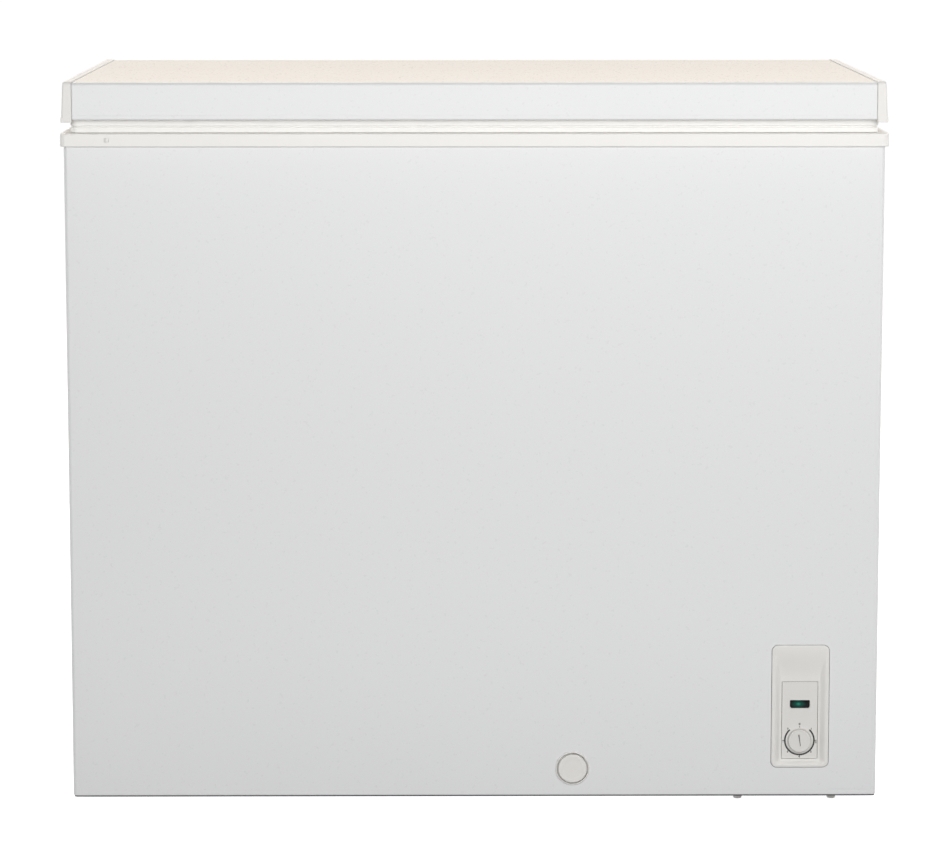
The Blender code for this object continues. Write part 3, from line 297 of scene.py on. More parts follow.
# grey for the knob's pointer mark: partly a printed pointer, partly painted shade that darkens its groove
POINTER_INK_AND_SHADE = moulded("pointer_ink_and_groove_shade", (0.100, 0.100, 0.100), 0.50, (0.150, 0.150, 0.150))
FACIA = moulded("facia_plastic", (0.805, 0.791, 0.762), 0.46, (0.785, 0.770, 0.740), 1100)
RIM_PLASTIC = moulded("rim_plastic", (0.940, 0.924, 0.896), 0.42, (0.920, 0.903, 0.872))

# ---------------------------------------------------------------- mesh helpers


def linked(name, data):
    """A new object in the scene."""
    made = bpy.data.objects.new(name, data)
    bpy.context.scene.collection.objects.link(made)
    return made


def from_bmesh(name, bm):
    """A linked object made from a bmesh, which is freed."""
    data = bpy.data.meshes.new(name)
    bm.to_mesh(data)
    bm.free()
    return linked(name, data)


def evaluated_mesh(obj):
    """A new mesh of what an object's curve or modifiers make."""
    bpy.context.view_layer.update()
    return bpy.data.meshes.new_from_object(obj.evaluated_get(bpy.context.evaluated_depsgraph_get()))


def gathered(name, parts):
    """One object that takes in the meshes of others, which are removed."""
    bm = bmesh.new()
    for part in parts:
        bm.from_mesh(part.data)
        bpy.data.objects.remove(part)
    return from_bmesh(name, bm)


def baked(obj):
    """Applies an object's modifiers to its mesh."""
    data = evaluated_mesh(obj)
    obj.modifiers.clear()
    old, obj.data = obj.data, data
    if isinstance(old, bpy.types.Mesh):
        bpy.data.meshes.remove(old)
    return obj


def modified(obj, kind, **settings):
    """Adds one modifier and applies it."""
    step = obj.modifiers.new(kind.lower(), kind)
    for name, value in settings.items():
        setattr(step, name, value)
    return baked(obj)


def combined(obj, others, operation):
    """Cuts others from obj, or joins them to it, and removes them."""
    for other in others:
        modified(obj, "BOOLEAN", operation=operation, solver="EXACT", object=other)
        bpy.data.objects.remove(other)
    return obj


def cut(obj, *others):
    return combined(obj, others, "DIFFERENCE")


def join(obj, *others):
    return combined(obj, others, "UNION")


def piece(obj, slot, body, *stands_for, look=None, sharp=SHARP):
    """Finishes a piece: shading, material, the body it rides on and the nodes that it replaces."""
    if obj.type == "MESH":
        obj.data.shade_smooth()
        obj.data.set_sharp_from_angle(angle=sharp)
        modified(obj, "WEIGHTED_NORMAL", keep_sharp=True, weight=60)
    obj.data.materials.clear()
    obj.data.materials.append((look or LOOKS[slot]).material)
    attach(obj, body)
    if stands_for:
        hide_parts(*stands_for)
    return obj


def arc(centre, radius, start, end, steps):
    """Points on an arc in a plane, from one angle to another in degrees."""
    angles = [math.radians(start + (end - start) * i / steps) for i in range(steps + 1)]
    return [(centre[0] + radius * math.cos(a), centre[1] + radius * math.sin(a)) for a in angles]


def fillet(points, radius, steps=5):
    """The points of a path with each inner corner rounded."""
    points = [Vector(p) for p in points]
    rounded = [points[0]]
    for before, corner, after in zip(points, points[1:], points[2:]):
        to_before, to_after = (before - corner).normalized(), (after - corner).normalized()
        half = to_before.angle(to_after) / 2
        reach = radius / math.tan(half)
        centre = corner + (to_before + to_after).normalized() * radius / math.sin(half)
        first, last = corner + to_before * reach - centre, corner + to_after * reach - centre
        sweep = first.angle(last)
        for i in range(steps + 1):
            share = i / steps
            mixed = first * math.sin((1 - share) * sweep) + last * math.sin(share * sweep)
            rounded.append(centre + mixed / math.sin(sweep))
    rounded.append(points[-1])
    return rounded


def outline(half_u, half_v, radius, steps=6, low_radius=None):
    """Points anticlockwise round a rectangle with round corners; the lower two may differ."""
    points = []
    for corner, (su, sv) in enumerate(((1, 1), (-1, 1), (-1, -1), (1, -1))):
        rounding = low_radius if low_radius and sv < 0 else radius
        middle = (su * (half_u - rounding), sv * (half_v - rounding))
        points += arc(middle, rounding, 90 * corner, 90 * corner + 90, steps)
    return points


def headings(path):
    """The direction in which a path runs at each of its points."""
    points = [Vector(p) for p in path]
    behind, ahead = points[:1] + points[:-1], points[1:] + points[-1:]
    return [(after - before).normalized() for before, after in zip(behind, ahead)]


def loft(name, rings, ends):
    """Skins rings of equal length; ends is 'loop' (last ring to first), 'caps' or 'last' (one cap)."""
    bm = bmesh.new()
    rows = [[bm.verts.new(p) for p in ring] for ring in rings]
    pairs = list(zip(rows, rows[1:]))
    if ends == "loop":
        pairs.append((rows[-1], rows[0]))
    for lower, upper in pairs:
        for i in range(len(lower)):
            j = (i + 1) % len(lower)
            bm.faces.new((lower[i], lower[j], upper[j], upper[i]))
    if ends == "caps":
        bm.faces.new(rows[0][::-1])
    if ends in ("caps", "last"):
        bm.faces.new(rows[-1])
    if ends in ("caps", "loop"):
        bmesh.ops.recalc_face_normals(bm, faces=bm.faces)
    return from_bmesh(name, bm)


def strip(name, rows):
    """A sheet from rows of points, all of equal length."""
    bm = bmesh.new()
    made = [[bm.verts.new(p) for p in row] for row in rows]
    for lower, upper in zip(made, made[1:]):
        for i in range(len(lower) - 1):
            bm.faces.new((lower[i], lower[i + 1], upper[i + 1], upper[i]))
    return from_bmesh(name, bm)


def box_bmesh(low, high):
    """A sharp block between two corners, still a bmesh."""
    bm = bmesh.new()
    bmesh.ops.create_cube(bm, size=1.0)
    bmesh.ops.scale(bm, vec=[b - a for a, b in zip(low, high)], verts=bm.verts)
    bmesh.ops.translate(bm, vec=[(a + b) / 2 for a, b in zip(low, high)], verts=bm.verts)
    return bm


def block(name, low, high, rounding=0.0, segments=4):
    """A block between two corners, with every edge rounded."""
    bm = box_bmesh(low, high)
    if rounding:
        bmesh.ops.bevel(bm, geom=bm.edges[:], offset=rounding, segments=segments, profile=0.5,
                        affect="EDGES", clamp_overlap=True)
    return from_bmesh(name, bm)


def drum(name, start, end, radius, sides=48):
    """A cylinder between two points."""
    start, end = Vector(start), Vector(end)
    along = end - start
    turn = along.to_track_quat("Z", "Y").to_matrix().to_4x4()
    bm = bmesh.new()
    bmesh.ops.create_cone(bm, cap_ends=True, segments=sides, radius1=radius, radius2=radius,
                          depth=along.length, matrix=Matrix.Translation((start + end) / 2) @ turn)
    return from_bmesh(name, bm)


AXES = {
    "Z": Matrix.Identity(4),
    "-Y": Matrix.Rotation(math.pi / 2, 4, "X"),
    "Y": Matrix.Rotation(-math.pi / 2, 4, "X"),
    "X": Matrix.Rotation(math.pi / 2, 4, "Y"),
}


def turned(name, profile, place, axis="Z", sides=48):
    """A turned solid: profile is (radius, height) from its top down the outside."""
    matrix = Matrix.Translation(place) @ AXES[axis]
    bm = bmesh.new()
    rows = []
    for radius, height in profile:
        if radius <= 0:
            rows.append([bm.verts.new(matrix @ Vector((0, 0, height)))])
            continue
        angles = [2 * math.pi * i / sides for i in range(sides)]
        rows.append([bm.verts.new(matrix @ Vector((radius * math.cos(a), radius * math.sin(a), height)))
                     for a in angles])
    closed = all(radius > 0 for radius, _ in profile)
    for upper, lower in zip(rows, rows[1:] + rows[:1] if closed else rows[1:]):
        for i in range(sides):
            j = (i + 1) % sides
            ends = ((upper, i), (lower, i), (lower, j), (upper, j))
            corners = list(dict.fromkeys(row[k % len(row)] for row, k in ends))
            if len(corners) > 2:
                bm.faces.new(corners)
    bmesh.ops.recalc_face_normals(bm, faces=bm.faces)
    return from_bmesh(name, bm)


def wires(name, runs, sides=3):
    """One mesh of round wires: each run is (points, radius, closed)."""
    data = bpy.data.curves.new(name, "CURVE")
    data.dimensions = "3D"
    data.bevel_depth = 1.0
    data.bevel_resolution = sides
    data.use_fill_caps = True
    for points, radius, closed in runs:
        spline = data.splines.new("POLY")
        spline.points.add(len(points) - 1)
        spline.use_cyclic_u = closed
        for point, place in zip(spline.points, points):
            point.co = (*place, 1)
            point.radius = radius
    made = linked(name, data)
    bm = bmesh.new()
    bm.from_mesh(evaluated_mesh(made))
    bmesh.ops.remove_doubles(bm, verts=bm.verts, dist=0.000005)
    bmesh.ops.recalc_face_normals(bm, faces=bm.faces)
    bpy.data.objects.remove(made)
    return from_bmesh(name, bm)


def screw_heads(name, places, axis, body="cabinet", radius=0.0036, height=0.0018):
    """Pan-head screws with a cross recess, as one piece."""
    sweep = [math.pi / 2 * k / 5 for k in range(1, 6)]
    dome = [(0, height)]
    dome += [(radius * math.sin(a), height * 0.35 + height * 0.65 * math.cos(a)) for a in sweep]
    dome += [(radius, 0), (0, 0)]
    heads = []
    for i, place in enumerate(places):
        head = turned(f"{name}_{i}", dome, place, axis, 24)
        turn = Matrix.Translation(place) @ AXES[axis] @ Matrix.Rotation(0.4 + 0.7 * i, 4, "Z")
        for spin in (0, math.pi / 2):
            bar = block(f"{name}_slot_{i}", (-radius * 0.55, -radius * 0.13, height * 0.45),
                        (radius * 0.55, radius * 0.13, height * 1.5))
            bar.data.transform(turn @ Matrix.Rotation(spin, 4, "Z"))
            cut(head, bar)
        heads.append(head)
    piece(gathered(name, heads), "zinc_steel", body)


def tub_ring(out_x, out_y, radius, z, steps=8):
    """A level ring, out_x and out_y outside the tub's inside faces."""
    return [(u, TUB_Y + v, z) for u, v in outline(TUB_HALF + out_x, TUB_HALF_Y + out_y, radius, steps)]


# ---------------------------------------------------------------- cabinet


def cabinet_sheet():
    """The painted sheet bent round front and sides, its lower edge hemmed in."""
    bend = 0.0045
    corners = [(WRAP.x0, WRAP.y1, 0), (WRAP.x0, FRONT, 0), (WRAP.x1, FRONT, 0), (WRAP.x1, WRAP.y1, 0)]
    plan = fillet(corners, bend, 8)
    hem, hem_steps, plain = 0.0016, 4, 0.05
    sweep = [math.pi / 2 * i / hem_steps for i in range(hem_steps, -1, -1)]
    levels = [(hem - hem * math.cos(a), WRAP.z0 + (hem - hem * math.sin(a))) for a in sweep]
    levels += [(0.0, WRAP.z0 + plain), (0.0, WRAP.z1)]
    course = list(zip(plan, headings(plan)))
    rows = [[(p.x - along.y * inward, p.y + along.x * inward, z) for p, along in course]
            for inward, z in levels]
    sheet = strip("cabinet_sheet", rows)
    modified(sheet, "SOLIDIFY", thickness=SHEET, offset=-1, use_even_offset=True)
    half_x, half_z, gap = (BEZEL.x1 - BEZEL.x0) / 2, (BEZEL.z1 - BEZEL.z0) / 2, 0.0005
    crease_left, crease_right = 0.4105, 0.4575
    crease_z, crease_high, crease_deep = WRAP.z0 + 0.0052, 0.0016, 0.00074
    lap, ahead_y, behind_y = 0.010, FRONT - PAST, FRONT + PAST
    cut(
        sheet,
        loft("panel_hole", [panel_ring(BEZEL.z, half_x + gap, half_z + gap, BEZEL_CORNER + gap, y)
                            for y in (ahead_y, behind_y)], "caps"),
        block("crease", (crease_left, ahead_y, crease_z),
              (crease_right, FRONT + crease_deep, crease_z + crease_high)),
        drum("drain_hole", (DIAL.x, ahead_y, DIAL.z), (DIAL.x, behind_y, DIAL.z), WELL + SEAM),
        block("vent_hole", (WRAP.x1 - PAST, SIDE_GRILLE.y0 + lap, SIDE_GRILLE.z0 + lap),
              (WRAP.x1 + PAST, SIDE_GRILLE.y1 - lap, SIDE_GRILLE.z1 - lap)),
    )
    piece(sheet, "white_paint", "cabinet", "cabinet_wrapper")


def base_rail():
    """A black strip under the sheet's lower edge: painted shadow that stands in for the shade in the gap
    beneath the sheet.
    """
    inset, thick, low, high = 0.0010, 0.0020, WRAP.z0 - 0.0012, WRAP.z0 + 0.0030
    left, right, face, rear = WRAP.x0 + inset, WRAP.x1 - inset, FRONT + inset, REAR_SHEET.y0 - SEAM
    bend, ring = 0.0040, []
    for deep in (0.0, thick):
        x0, x1, y = left + deep, right - deep, face + deep
        path = fillet([(x0, rear, 0), (x0, y, 0), (x1, y, 0), (x1, rear, 0)], bend - deep, 6)
        ring += path[::-1] if deep else path
    # painted shadow: a black strip where there is only the shade under the sheet's edge
    shadow_strip = loft("base_rail", [[(p.x, p.y, z) for p in ring] for z in (low, high)], "caps")
    piece(shadow_strip, "black_paint", "cabinet")


def rim_collar():
    """The plastic collar with its rolled edges, basket ledge and inner lip."""
    edge, nose, fall = 0.0016, 0.0025, 0.0030
    out, top, ledge, thick = RIM.x1 - TUB_HALF, RIM.z1, 0.770, 0.0025
    inner = out - 0.004
    lip, low = RIM_FOOT, RIM.z0
    profile = [(out - 0.0008, lip), (out, lip + 0.0008)]
    profile += arc((out - edge, top - edge), edge, 0, 90, 5)
    profile += arc((0.010 + nose, top - nose), nose, 90, 180, 5)
    profile += [(0.010, ledge + 0.0012), (0.0096, ledge + 0.0004), (0.0088, ledge)]
    profile += arc((-0.0023 + fall, ledge - fall), fall, 90, 180, 5)
    profile += [(-0.0023, low + 0.0005), (-0.0016, low), (-SEAM, low + 0.0002), (-SEAM, TUB.z1 + SEAM)]
    profile += [(0.010 + thick, TUB.z1 + SEAM), (0.010 + thick, top - thick), (inner + SEAM, top - thick)]
    profile += [(inner + SEAM, lip)]
    rings = []
    for offset, z in profile:
        radius = 0.0245 + offset if offset < 0.03 else max(0.001, 0.007 - (out - offset))
        rings.append(tub_ring(offset, offset, radius, z))
    collar = loft("rim_collar", rings, "loop")
    plug_x, plug_z, bore, deep = -0.419, (RIM_FOOT + RIM.z1) / 2, 0.0030, 0.0020
    mouth, end = (plug_x, RIM.y0 - 0.001, plug_z), (plug_x, RIM.y0 + deep, plug_z)
    cut(collar, drum("plug_hole", mouth, end, bore, 32))
    piece(collar, "white_plastic", "cabinet", "rim_frame", look=RIM_PLASTIC)
    dome = [(0, 0.0), (0.0012, -0.0001), (0.0023, -0.0003), (0.0028, -0.0006), (0.0028, -0.0018),
            (0, -0.0018)]
    plug = turned("rim_plug", dome, (plug_x, RIM.y0, plug_z), "-Y", 32)
    piece(plug, "white_plastic", "cabinet")


def tub_lining():
    """The embossed tub with its step, soft corners and one folded seam."""
    floor = TUB.z0 + TUB_THICK
    left, right, top = -TUB_HALF, TUB_HALF, TUB.z1
    profile = [(left, floor), (STEP_X, floor), (STEP_X, STEP_Z), (right, STEP_Z), (right, top), (left, top)]
    bm = bmesh.new()
    face = bm.faces.new([bm.verts.new((x, TUB_Y - TUB_HALF_Y, z)) for x, z in profile])
    grown = bmesh.ops.extrude_face_region(bm, geom=[face])
    moved = [v for v in grown["geom"] if isinstance(v, bmesh.types.BMVert)]
    bmesh.ops.translate(bm, vec=(0, 2 * TUB_HALF_Y, 0), verts=moved)
    bmesh.ops.recalc_face_normals(bm, faces=bm.faces)
    mouth = [f for f in bm.faces if all(v.co.z > top - 0.001 for v in f.verts)]
    bmesh.ops.delete(bm, geom=mouth, context="FACES")
    tub = from_bmesh("tub_lining", bm)
    modified(tub, "BEVEL", width=TUB_CORNER, segments=10, limit_method="ANGLE", use_clamp_overlap=True)
    modified(tub, "SOLIDIFY", thickness=TUB_THICK, offset=1, use_even_offset=True)
    plug = span("floor_drain_plug")
    hole = 0.0105
    cut(tub, drum("floor_hole", (plug.x, plug.y, floor - 2 * PAST), (plug.x, plug.y, floor + 2 * PAST), hole))
    piece(tub, "liner_aluminium", "cabinet", "inner_liner")
    wall, half_seam, proud, under_rim = TUB_Y + TUB_HALF_Y, 0.006, 0.0006, 0.016
    seam_low = (-half_seam, wall - proud, floor + TUB_CORNER)
    seam = block("tub_seam", seam_low, (half_seam, wall + 0.0002, top - under_rim), 0.0004, 2)
    piece(seam, "liner_aluminium", "cabinet")


def rear_sheet():
    """The rear sheet, notched over the compartment and stiffened by pressed beads."""
    notch_x, notch_z = REAR_GRILLE.x0, REAR_GRILLE.z1
    sheet = block("rear_sheet", REAR_SHEET.low, REAR_SHEET.high)
    cut(sheet, block("notch", (notch_x, REAR_SHEET.y0 - PAST, -PAST),
                     (REAR_SHEET.x1 + PAST, REAR_SHEET.y1 + PAST, notch_z)))
    face = REAR_SHEET.y1
    bead, proud = 0.005, 0.0016
    along, upright, high, middle_z, low = 0.40, 0.425, 0.610, 0.330, 0.070
    clear, notch_left = 0.030, 0.20
    beads = [((-along, high), (along, high)), ((-along, middle_z), (along, middle_z)),
             ((-along, low), (notch_left, low)), ((-upright, low + clear), (-upright, high - clear)),
             ((upright, middle_z + clear), (upright, high - clear))]
    for i, (start, end) in enumerate(beads):
        across, up = end[0] - start[0], end[1] - start[1]
        half_u, half_v = abs(across) / 2 + bead, abs(up) / 2 + bead
        middle = ((start[0] + end[0]) / 2, (start[1] + end[1]) / 2)
        steps = [(0.0, -0.0004), (0.0, 0.0), (0.0012, proud * 0.55), (0.0026, proud * 0.92), (0.0040, proud)]
        rings = []
        for inset, height in steps:
            rings.append([(middle[0] - u, face + height, middle[1] + v)
                          for u, v in outline(half_u - inset, half_v - inset, bead - inset, 6)])
        join(sheet, loft(f"bead_{i}", rings, "caps"))
    piece(sheet, "white_paint", "cabinet", "rear_panel")
    edge, top_row, foot_row, levels = 0.012, 0.752, 0.022, (0.30, 0.52, 0.74)
    places = [(x, face, z) for x in (REAR_SHEET.x0 + edge, REAR_SHEET.x1 - edge) for z in levels]
    places += [(REAR_SHEET.x0 + edge, face, 0.04), (0.0, face, top_row), (0.0, face, foot_row),
               (-0.22, face, foot_row)]
    screw_heads("rear_screws", places, "Y")


def grilles():
    """The louvred compartment cover and the slotted vent in the side."""
    g = REAR_GRILLE
    plate_low, plate_high = (g.x0, g.y0, g.z0), (g.x1, g.y0 + 0.0012, g.z1)
    cover = block("rear_grille_plate", plate_low, plate_high, 0.0003, 2)
    cutters, hoods = [], []
    columns, rows = ((0.266, 0.3525), (0.3635, 0.450)), 8
    first, pitch, tall, reach = 0.078, 0.0222, 0.0075, 0.0042
    face, thick, grow, over = g.y0 + 0.0011, 0.0006, 0.0022, 0.0010
    for c, (u0, u1) in enumerate(columns):
        for r in range(rows):
            z = first + r * pitch
            cutters.append(block(f"vent_{c}_{r}", (u0, g.y0 - PAST, z), (u1, g.y1 + PAST, z + tall)))
            foot = z + thick
            curve = arc((0.0, 0.0), 1.0, 90, 4, 6)
            outer = [(face + y * reach, foot + h * (tall + over)) for y, h in curve]
            inner = [(face + (y - face) * (1 - thick / reach), foot + (h - foot) * (1 - thick / tall))
                     for y, h in outer][::-1]
            ends = (u1 + grow, u0 - grow)
            hoods.append(loft(f"hood_{c}_{r}", [[(x, y, h) for y, h in outer + inner] for x in ends], "caps"))
    gland = span("cord_gland")
    cut(cover, gathered("vents", cutters),
        drum("gland_hole", (gland.x, g.y0 - PAST, gland.z), (gland.x, g.y1 + PAST, gland.z), 0.0083))
    piece(gathered("louvred_cover", [cover] + hoods), "galvanised_steel", "cabinet", "rear_grille")
    inset = 0.008
    levels = (g.z0 + inset, g.z, g.z1 - inset)
    places = [(x, plate_high[1], z) for x in (g.x0 + inset, g.x1 - inset) for z in levels]
    screw_heads("cover_screws", places, "Y")

    s = SIDE_GRILLE
    half_y, half_z = (s.y1 - s.y0) / 2, (s.z1 - s.z0) / 2
    steps = [(0.0, s.x0), (0.0, s.x1 - 0.0008), (0.0003, s.x1 - 0.0002), (0.0009, s.x1)]
    corner = 0.006
    rings = [[(x, s.y + u, s.z + v) for u, v in outline(half_y - fall, half_z - fall, corner - fall, 6)]
             for fall, x in steps]
    vent = loft("side_vent", rings, "caps")
    column_pitch, rows, row_pitch = 0.078, 7, 0.0137
    shape = outline(0.035, 0.003, 0.0029, 5)
    slots = []
    for c in range(2):
        for r in range(rows):
            y = s.y + (c - 0.5) * column_pitch
            z = s.z + (r - rows // 2) * row_pitch
            slots.append(loft("slot", [[(x, y + u, z + v) for u, v in shape]
                                       for x in (s.x0 - PAST, s.x1 + PAST)], "caps"))
    cut(vent, gathered("side_slots", slots))
    piece(vent, "white_plastic", "cabinet", "side_grille")
    edge = 0.006
    places = [(s.x1, y, s.z) for y in (s.y0 + edge, s.y1 - edge)]
    screw_heads("vent_screws", places, "X", "cabinet", 0.0026, 0.0010)


def feet():
    """Two ribbed pads at the left and four small moulded feet at the compressor end."""
    for name in [f"foot_{at}_{end}" for at in ("left", "bay", "right") for end in ("front", "rear")]:
        f = span(name)
        radius, top = (f.x1 - f.x0) / 2, f.z1
        low, edge = radius - 0.003, 0.0010
        side = [(0, top), (radius, top), (radius, top - 0.0015), (radius - 0.0010, top - 0.0030),
                (low + 0.0006, top - 0.0045), (low + 0.0006, 0.0032), (low, 0.0028), (low, 0.0012)]
        side += arc((low - edge, edge), edge, 0, -90, 4)[1:]
        foot = turned(name + "_moulding", side + [(0, 0)], (f.x, f.y, 0), sides=40)
        slot = "black_rubber" if "left" in name else "grey_plastic"
        piece(foot, slot, "cabinet", name)


def compressor():
    """The drawn steel can with its weld seam and foot plate."""
    x, y = 0.358, 0.130
    radius, side_top, dome, wall = 0.078, 0.165, 0.035, 0.006
    seam_z, half_seam, bead = 0.1, 0.0055, 0.003
    sweep = [math.pi / 2 * i / 16 for i in range(17)]
    outer, inner = ([((radius - deep) * math.sin(a), side_top + (dome - deep) * math.cos(a)) for a in sweep]
                    for deep in (0, wall))
    seam = [(radius, seam_z + half_seam)] + arc((radius, seam_z), bead, 60, -60, 6)
    seam += [(radius, seam_z - half_seam)]
    low = [(radius, 0.052), (radius - 0.004, 0.043), (0.062, CAN.z0 + 0.003), (0.050, CAN.z0 + 0.002),
           (radius - wall, 0.056)]
    can = turned("compressor_can", outer + seam + low + inner[::-1], (x, y, 0), sides=96)
    inset, plate, hole = 0.008, 0.0028, 0.045
    foot_low, foot_high = (CAN.x0, CAN.y0 + inset, CAN.z0), (CAN.x1, CAN.y1 - inset, CAN.z0 + plate)
    foot = block("can_foot", foot_low, foot_high, 0.0008, 2)
    cut(foot, drum("foot_hole", (x, y, 0), (x, y, seam_z), hole))
    join(can, foot)
    piece(can, "black_paint", "cabinet", "compressor")
    c = span("starter_cover")
    cover = block("starter_housing", c.low, c.high, 0.004, 5)
    piece(cover, "black_plastic", "cabinet", "starter_cover")


# ---------------------------------------------------------------- controls and drain


def panel_ring(centre_z, half_x, half_z, radius, y, steps=8):
    """An upright ring round the control panel."""
    return [(BEZEL.x - u, y, centre_z + v) for u, v in outline(half_x, half_z, radius, steps)]


def control_bezel():
    """The bezel: a rolled edge, a narrow border and a dish that falls to the plate."""
    half_x, half_z = (BEZEL.x1 - BEZEL.x0) / 2, (BEZEL.z1 - BEZEL.z0) / 2
    face, roll, border = BEZEL.y0, 0.0014, 0.0030
    hole_x, hole_z = 0.0211, 0.0461
    depth, back = PLATE.y0 - SEAM, FRONT + 0.0040
    rings = [panel_ring(BEZEL.z, half_x, half_z, BEZEL_CORNER, y) for y in (back, FRONT - SEAM)]
    for angle in [math.pi / 2 * i / 5 for i in range(1, 6)]:
        inset = roll * (1 - math.cos(angle))
        y = FRONT - SEAM - (FRONT - SEAM - face) * math.sin(angle)
        rings.append(panel_ring(BEZEL.z, half_x - inset, half_z - inset, BEZEL_CORNER - inset, y))
    brim, foot, foot_grow = 0.0055, 0.0012, 0.0005
    hole_corner, wall, wall_corner = 0.0010, 0.0026, 0.005
    shelf = Vector((BEZEL.z, half_x - border, half_z - border, brim))
    edge = Vector((PLATE.z, hole_x + foot_grow, hole_z + foot_grow, foot))
    rings.append(panel_ring(*shelf, face))
    steps = 14
    for i in range(1, steps + 1):
        share = i / steps
        fall = 0.5 - 0.5 * math.cos(math.pi * min(1.0, share * 1.02))
        rings.append(panel_ring(*shelf.lerp(edge, share), face + (depth - face) * fall))
    rings += [
        panel_ring(PLATE.z, hole_x + 0.0001, hole_z + 0.0001, hole_corner, depth + 0.0003),
        panel_ring(PLATE.z, hole_x, hole_z, hole_corner, depth + 0.0008),
        panel_ring(PLATE.z, hole_x, hole_z, hole_corner, PLATE.y1),
        panel_ring(BEZEL.z, half_x - wall, half_z - wall, wall_corner, PLATE.y1),
        panel_ring(BEZEL.z, half_x - wall, half_z - wall, wall_corner, back),
    ]
    piece(loft("control_surround", rings[::-1], "loop"), "grey_plastic", "cabinet", "control_bezel")


def control_plate():
    """The plate with its lens lip and shaft hole."""
    p = PLATE
    plate = block("control_fascia", p.low, p.high, 0.0004, 3)
    gap, lip, proud = 0.0003, 0.0012, 0.0004
    lip_steps = ((lip, p.y0 + 0.0003), (lip, p.y0 - 0.0001), (lip - proud, p.y0 - proud),
                 (gap + 0.0001, p.y0 - proud))
    join(plate, lens_solid("lens_lip", [(-grow, y) for grow, y in lip_steps]))
    before, behind = p.y0 - PAST, p.y1 + PAST
    nose, sink, sunk = 0.0053, 0.0138, 0.0013
    cut(plate, lens_solid("window", [(-gap, before), (-gap, behind)]),
        drum("nose_hole", (KNOB.x, before, KNOB.z), (KNOB.x, behind, KNOB.z), nose, 40),
        drum("knob_sink", (KNOB.x, before, KNOB.z), (KNOB.x, p.y0 + sunk, KNOB.z), sink, 96))
    piece(plate, "grey_plastic", "cabinet", "control_plate", look=FACIA)


def lens_outline(inset):
    """The lens's outline: square shoulders above and rounder corners below."""
    half_x, half_z = (LENS.x1 - LENS.x0) / 2 - inset, (LENS.z1 - LENS.z0) / 2 - inset
    upper, lower, least = 0.0010, 0.0024, 0.0003
    return outline(half_x, half_z, max(least, upper - inset), 6, max(least, lower - inset))


def lens_solid(name, steps):
    """A solid of the lens's outline through steps of (inset, y)."""
    rings = [[(LENS.x - u, y, LENS.z + v) for u, v in lens_outline(inset)] for inset, y in steps]
    return loft(name, rings, "caps")


def indicator():
    """The lens, its face crowned."""
    face = LENS.y0
    steps = [(0.0, LENS.y1), (0.0, face + 0.0010), (0.0003, face + 0.0006), (0.0010, face + 0.0003),
             (0.0025, face + 0.0001), (0.0040, face)]
    piece(lens_solid("indicator_window", steps), "green_lens", "cabinet", "indicator_lens")


def dial_print():
    """The printed arc, its ticks and the numbers round the knob."""
    face, film = PLATE.y0, 0.00004
    line, radius = 0.0019, 0.0170
    first, last, steps = 132, 408, 72
    tick, half_tick, lap = 0.0030, 0.0004, 0.0002
    runs = [tuple(arc((0, 0), radius + side * line / 2, first, last, steps) for side in (-1, 1))]
    for angle in (180, 360):
        mid = math.radians(angle)
        out = Vector((math.cos(mid), math.sin(mid)))
        side = Vector((-out.y, out.x)) * half_tick
        near, far = out * (radius - lap), out * (radius + tick)
        runs.append(([near - side, far - side], [near + side, far + side]))
    back, front, marks = face + 0.00001, face - film, []
    for inside, outside in runs:
        rings = []
        for a, b in zip(inside, outside):
            corners = ((a, back), (b, back), (b, front), (a, front))
            rings.append([(KNOB.x + u, y, KNOB.z + v) for (u, v), y in corners])
        marks.append(loft("dial_run", rings, "caps"))
    piece(gathered("dial_arc", marks), "black_paint", "cabinet", look=INK)
    start, dot = (KNOB.x, face, KNOB.z + 0.0160), 0.0006
    disc = turned("dial_start", [(0, film), (dot, film), (dot, -film), (0, -film)], start, "-Y", 24)
    piece(disc, "black_paint", "cabinet", look=INK)
    reach, size, weight = 0.0193, 0.0029, 0.00016
    sizes, weights, leans = {0: 0.0036, 4: 0.0032}, {4: 0.00020}, {2: -7, 6: 7}
    for number in range(8):
        angle = math.radians(90 - 45 * number + leans.get(number, 0))
        text = bpy.data.curves.new(f"dial_number_{number}", "FONT")
        text.body = str(number)
        text.size = sizes.get(number, size)
        text.align_x, text.align_y = "CENTER", "CENTER"
        text.extrude = film / 2
        text.offset = weights.get(number, weight)
        made = linked(f"dial_number_{number}", text)
        place = Vector((KNOB.x + reach * math.cos(angle), face - film / 2, KNOB.z + reach * math.sin(angle)))
        made.matrix_world = Matrix.Translation(place) @ AXES["-Y"]
        data = evaluated_mesh(made)
        data.transform(made.matrix_world)
        bpy.data.objects.remove(made)
        piece(linked(f"dial_number_{number}", data), "black_paint", "cabinet", look=INK)


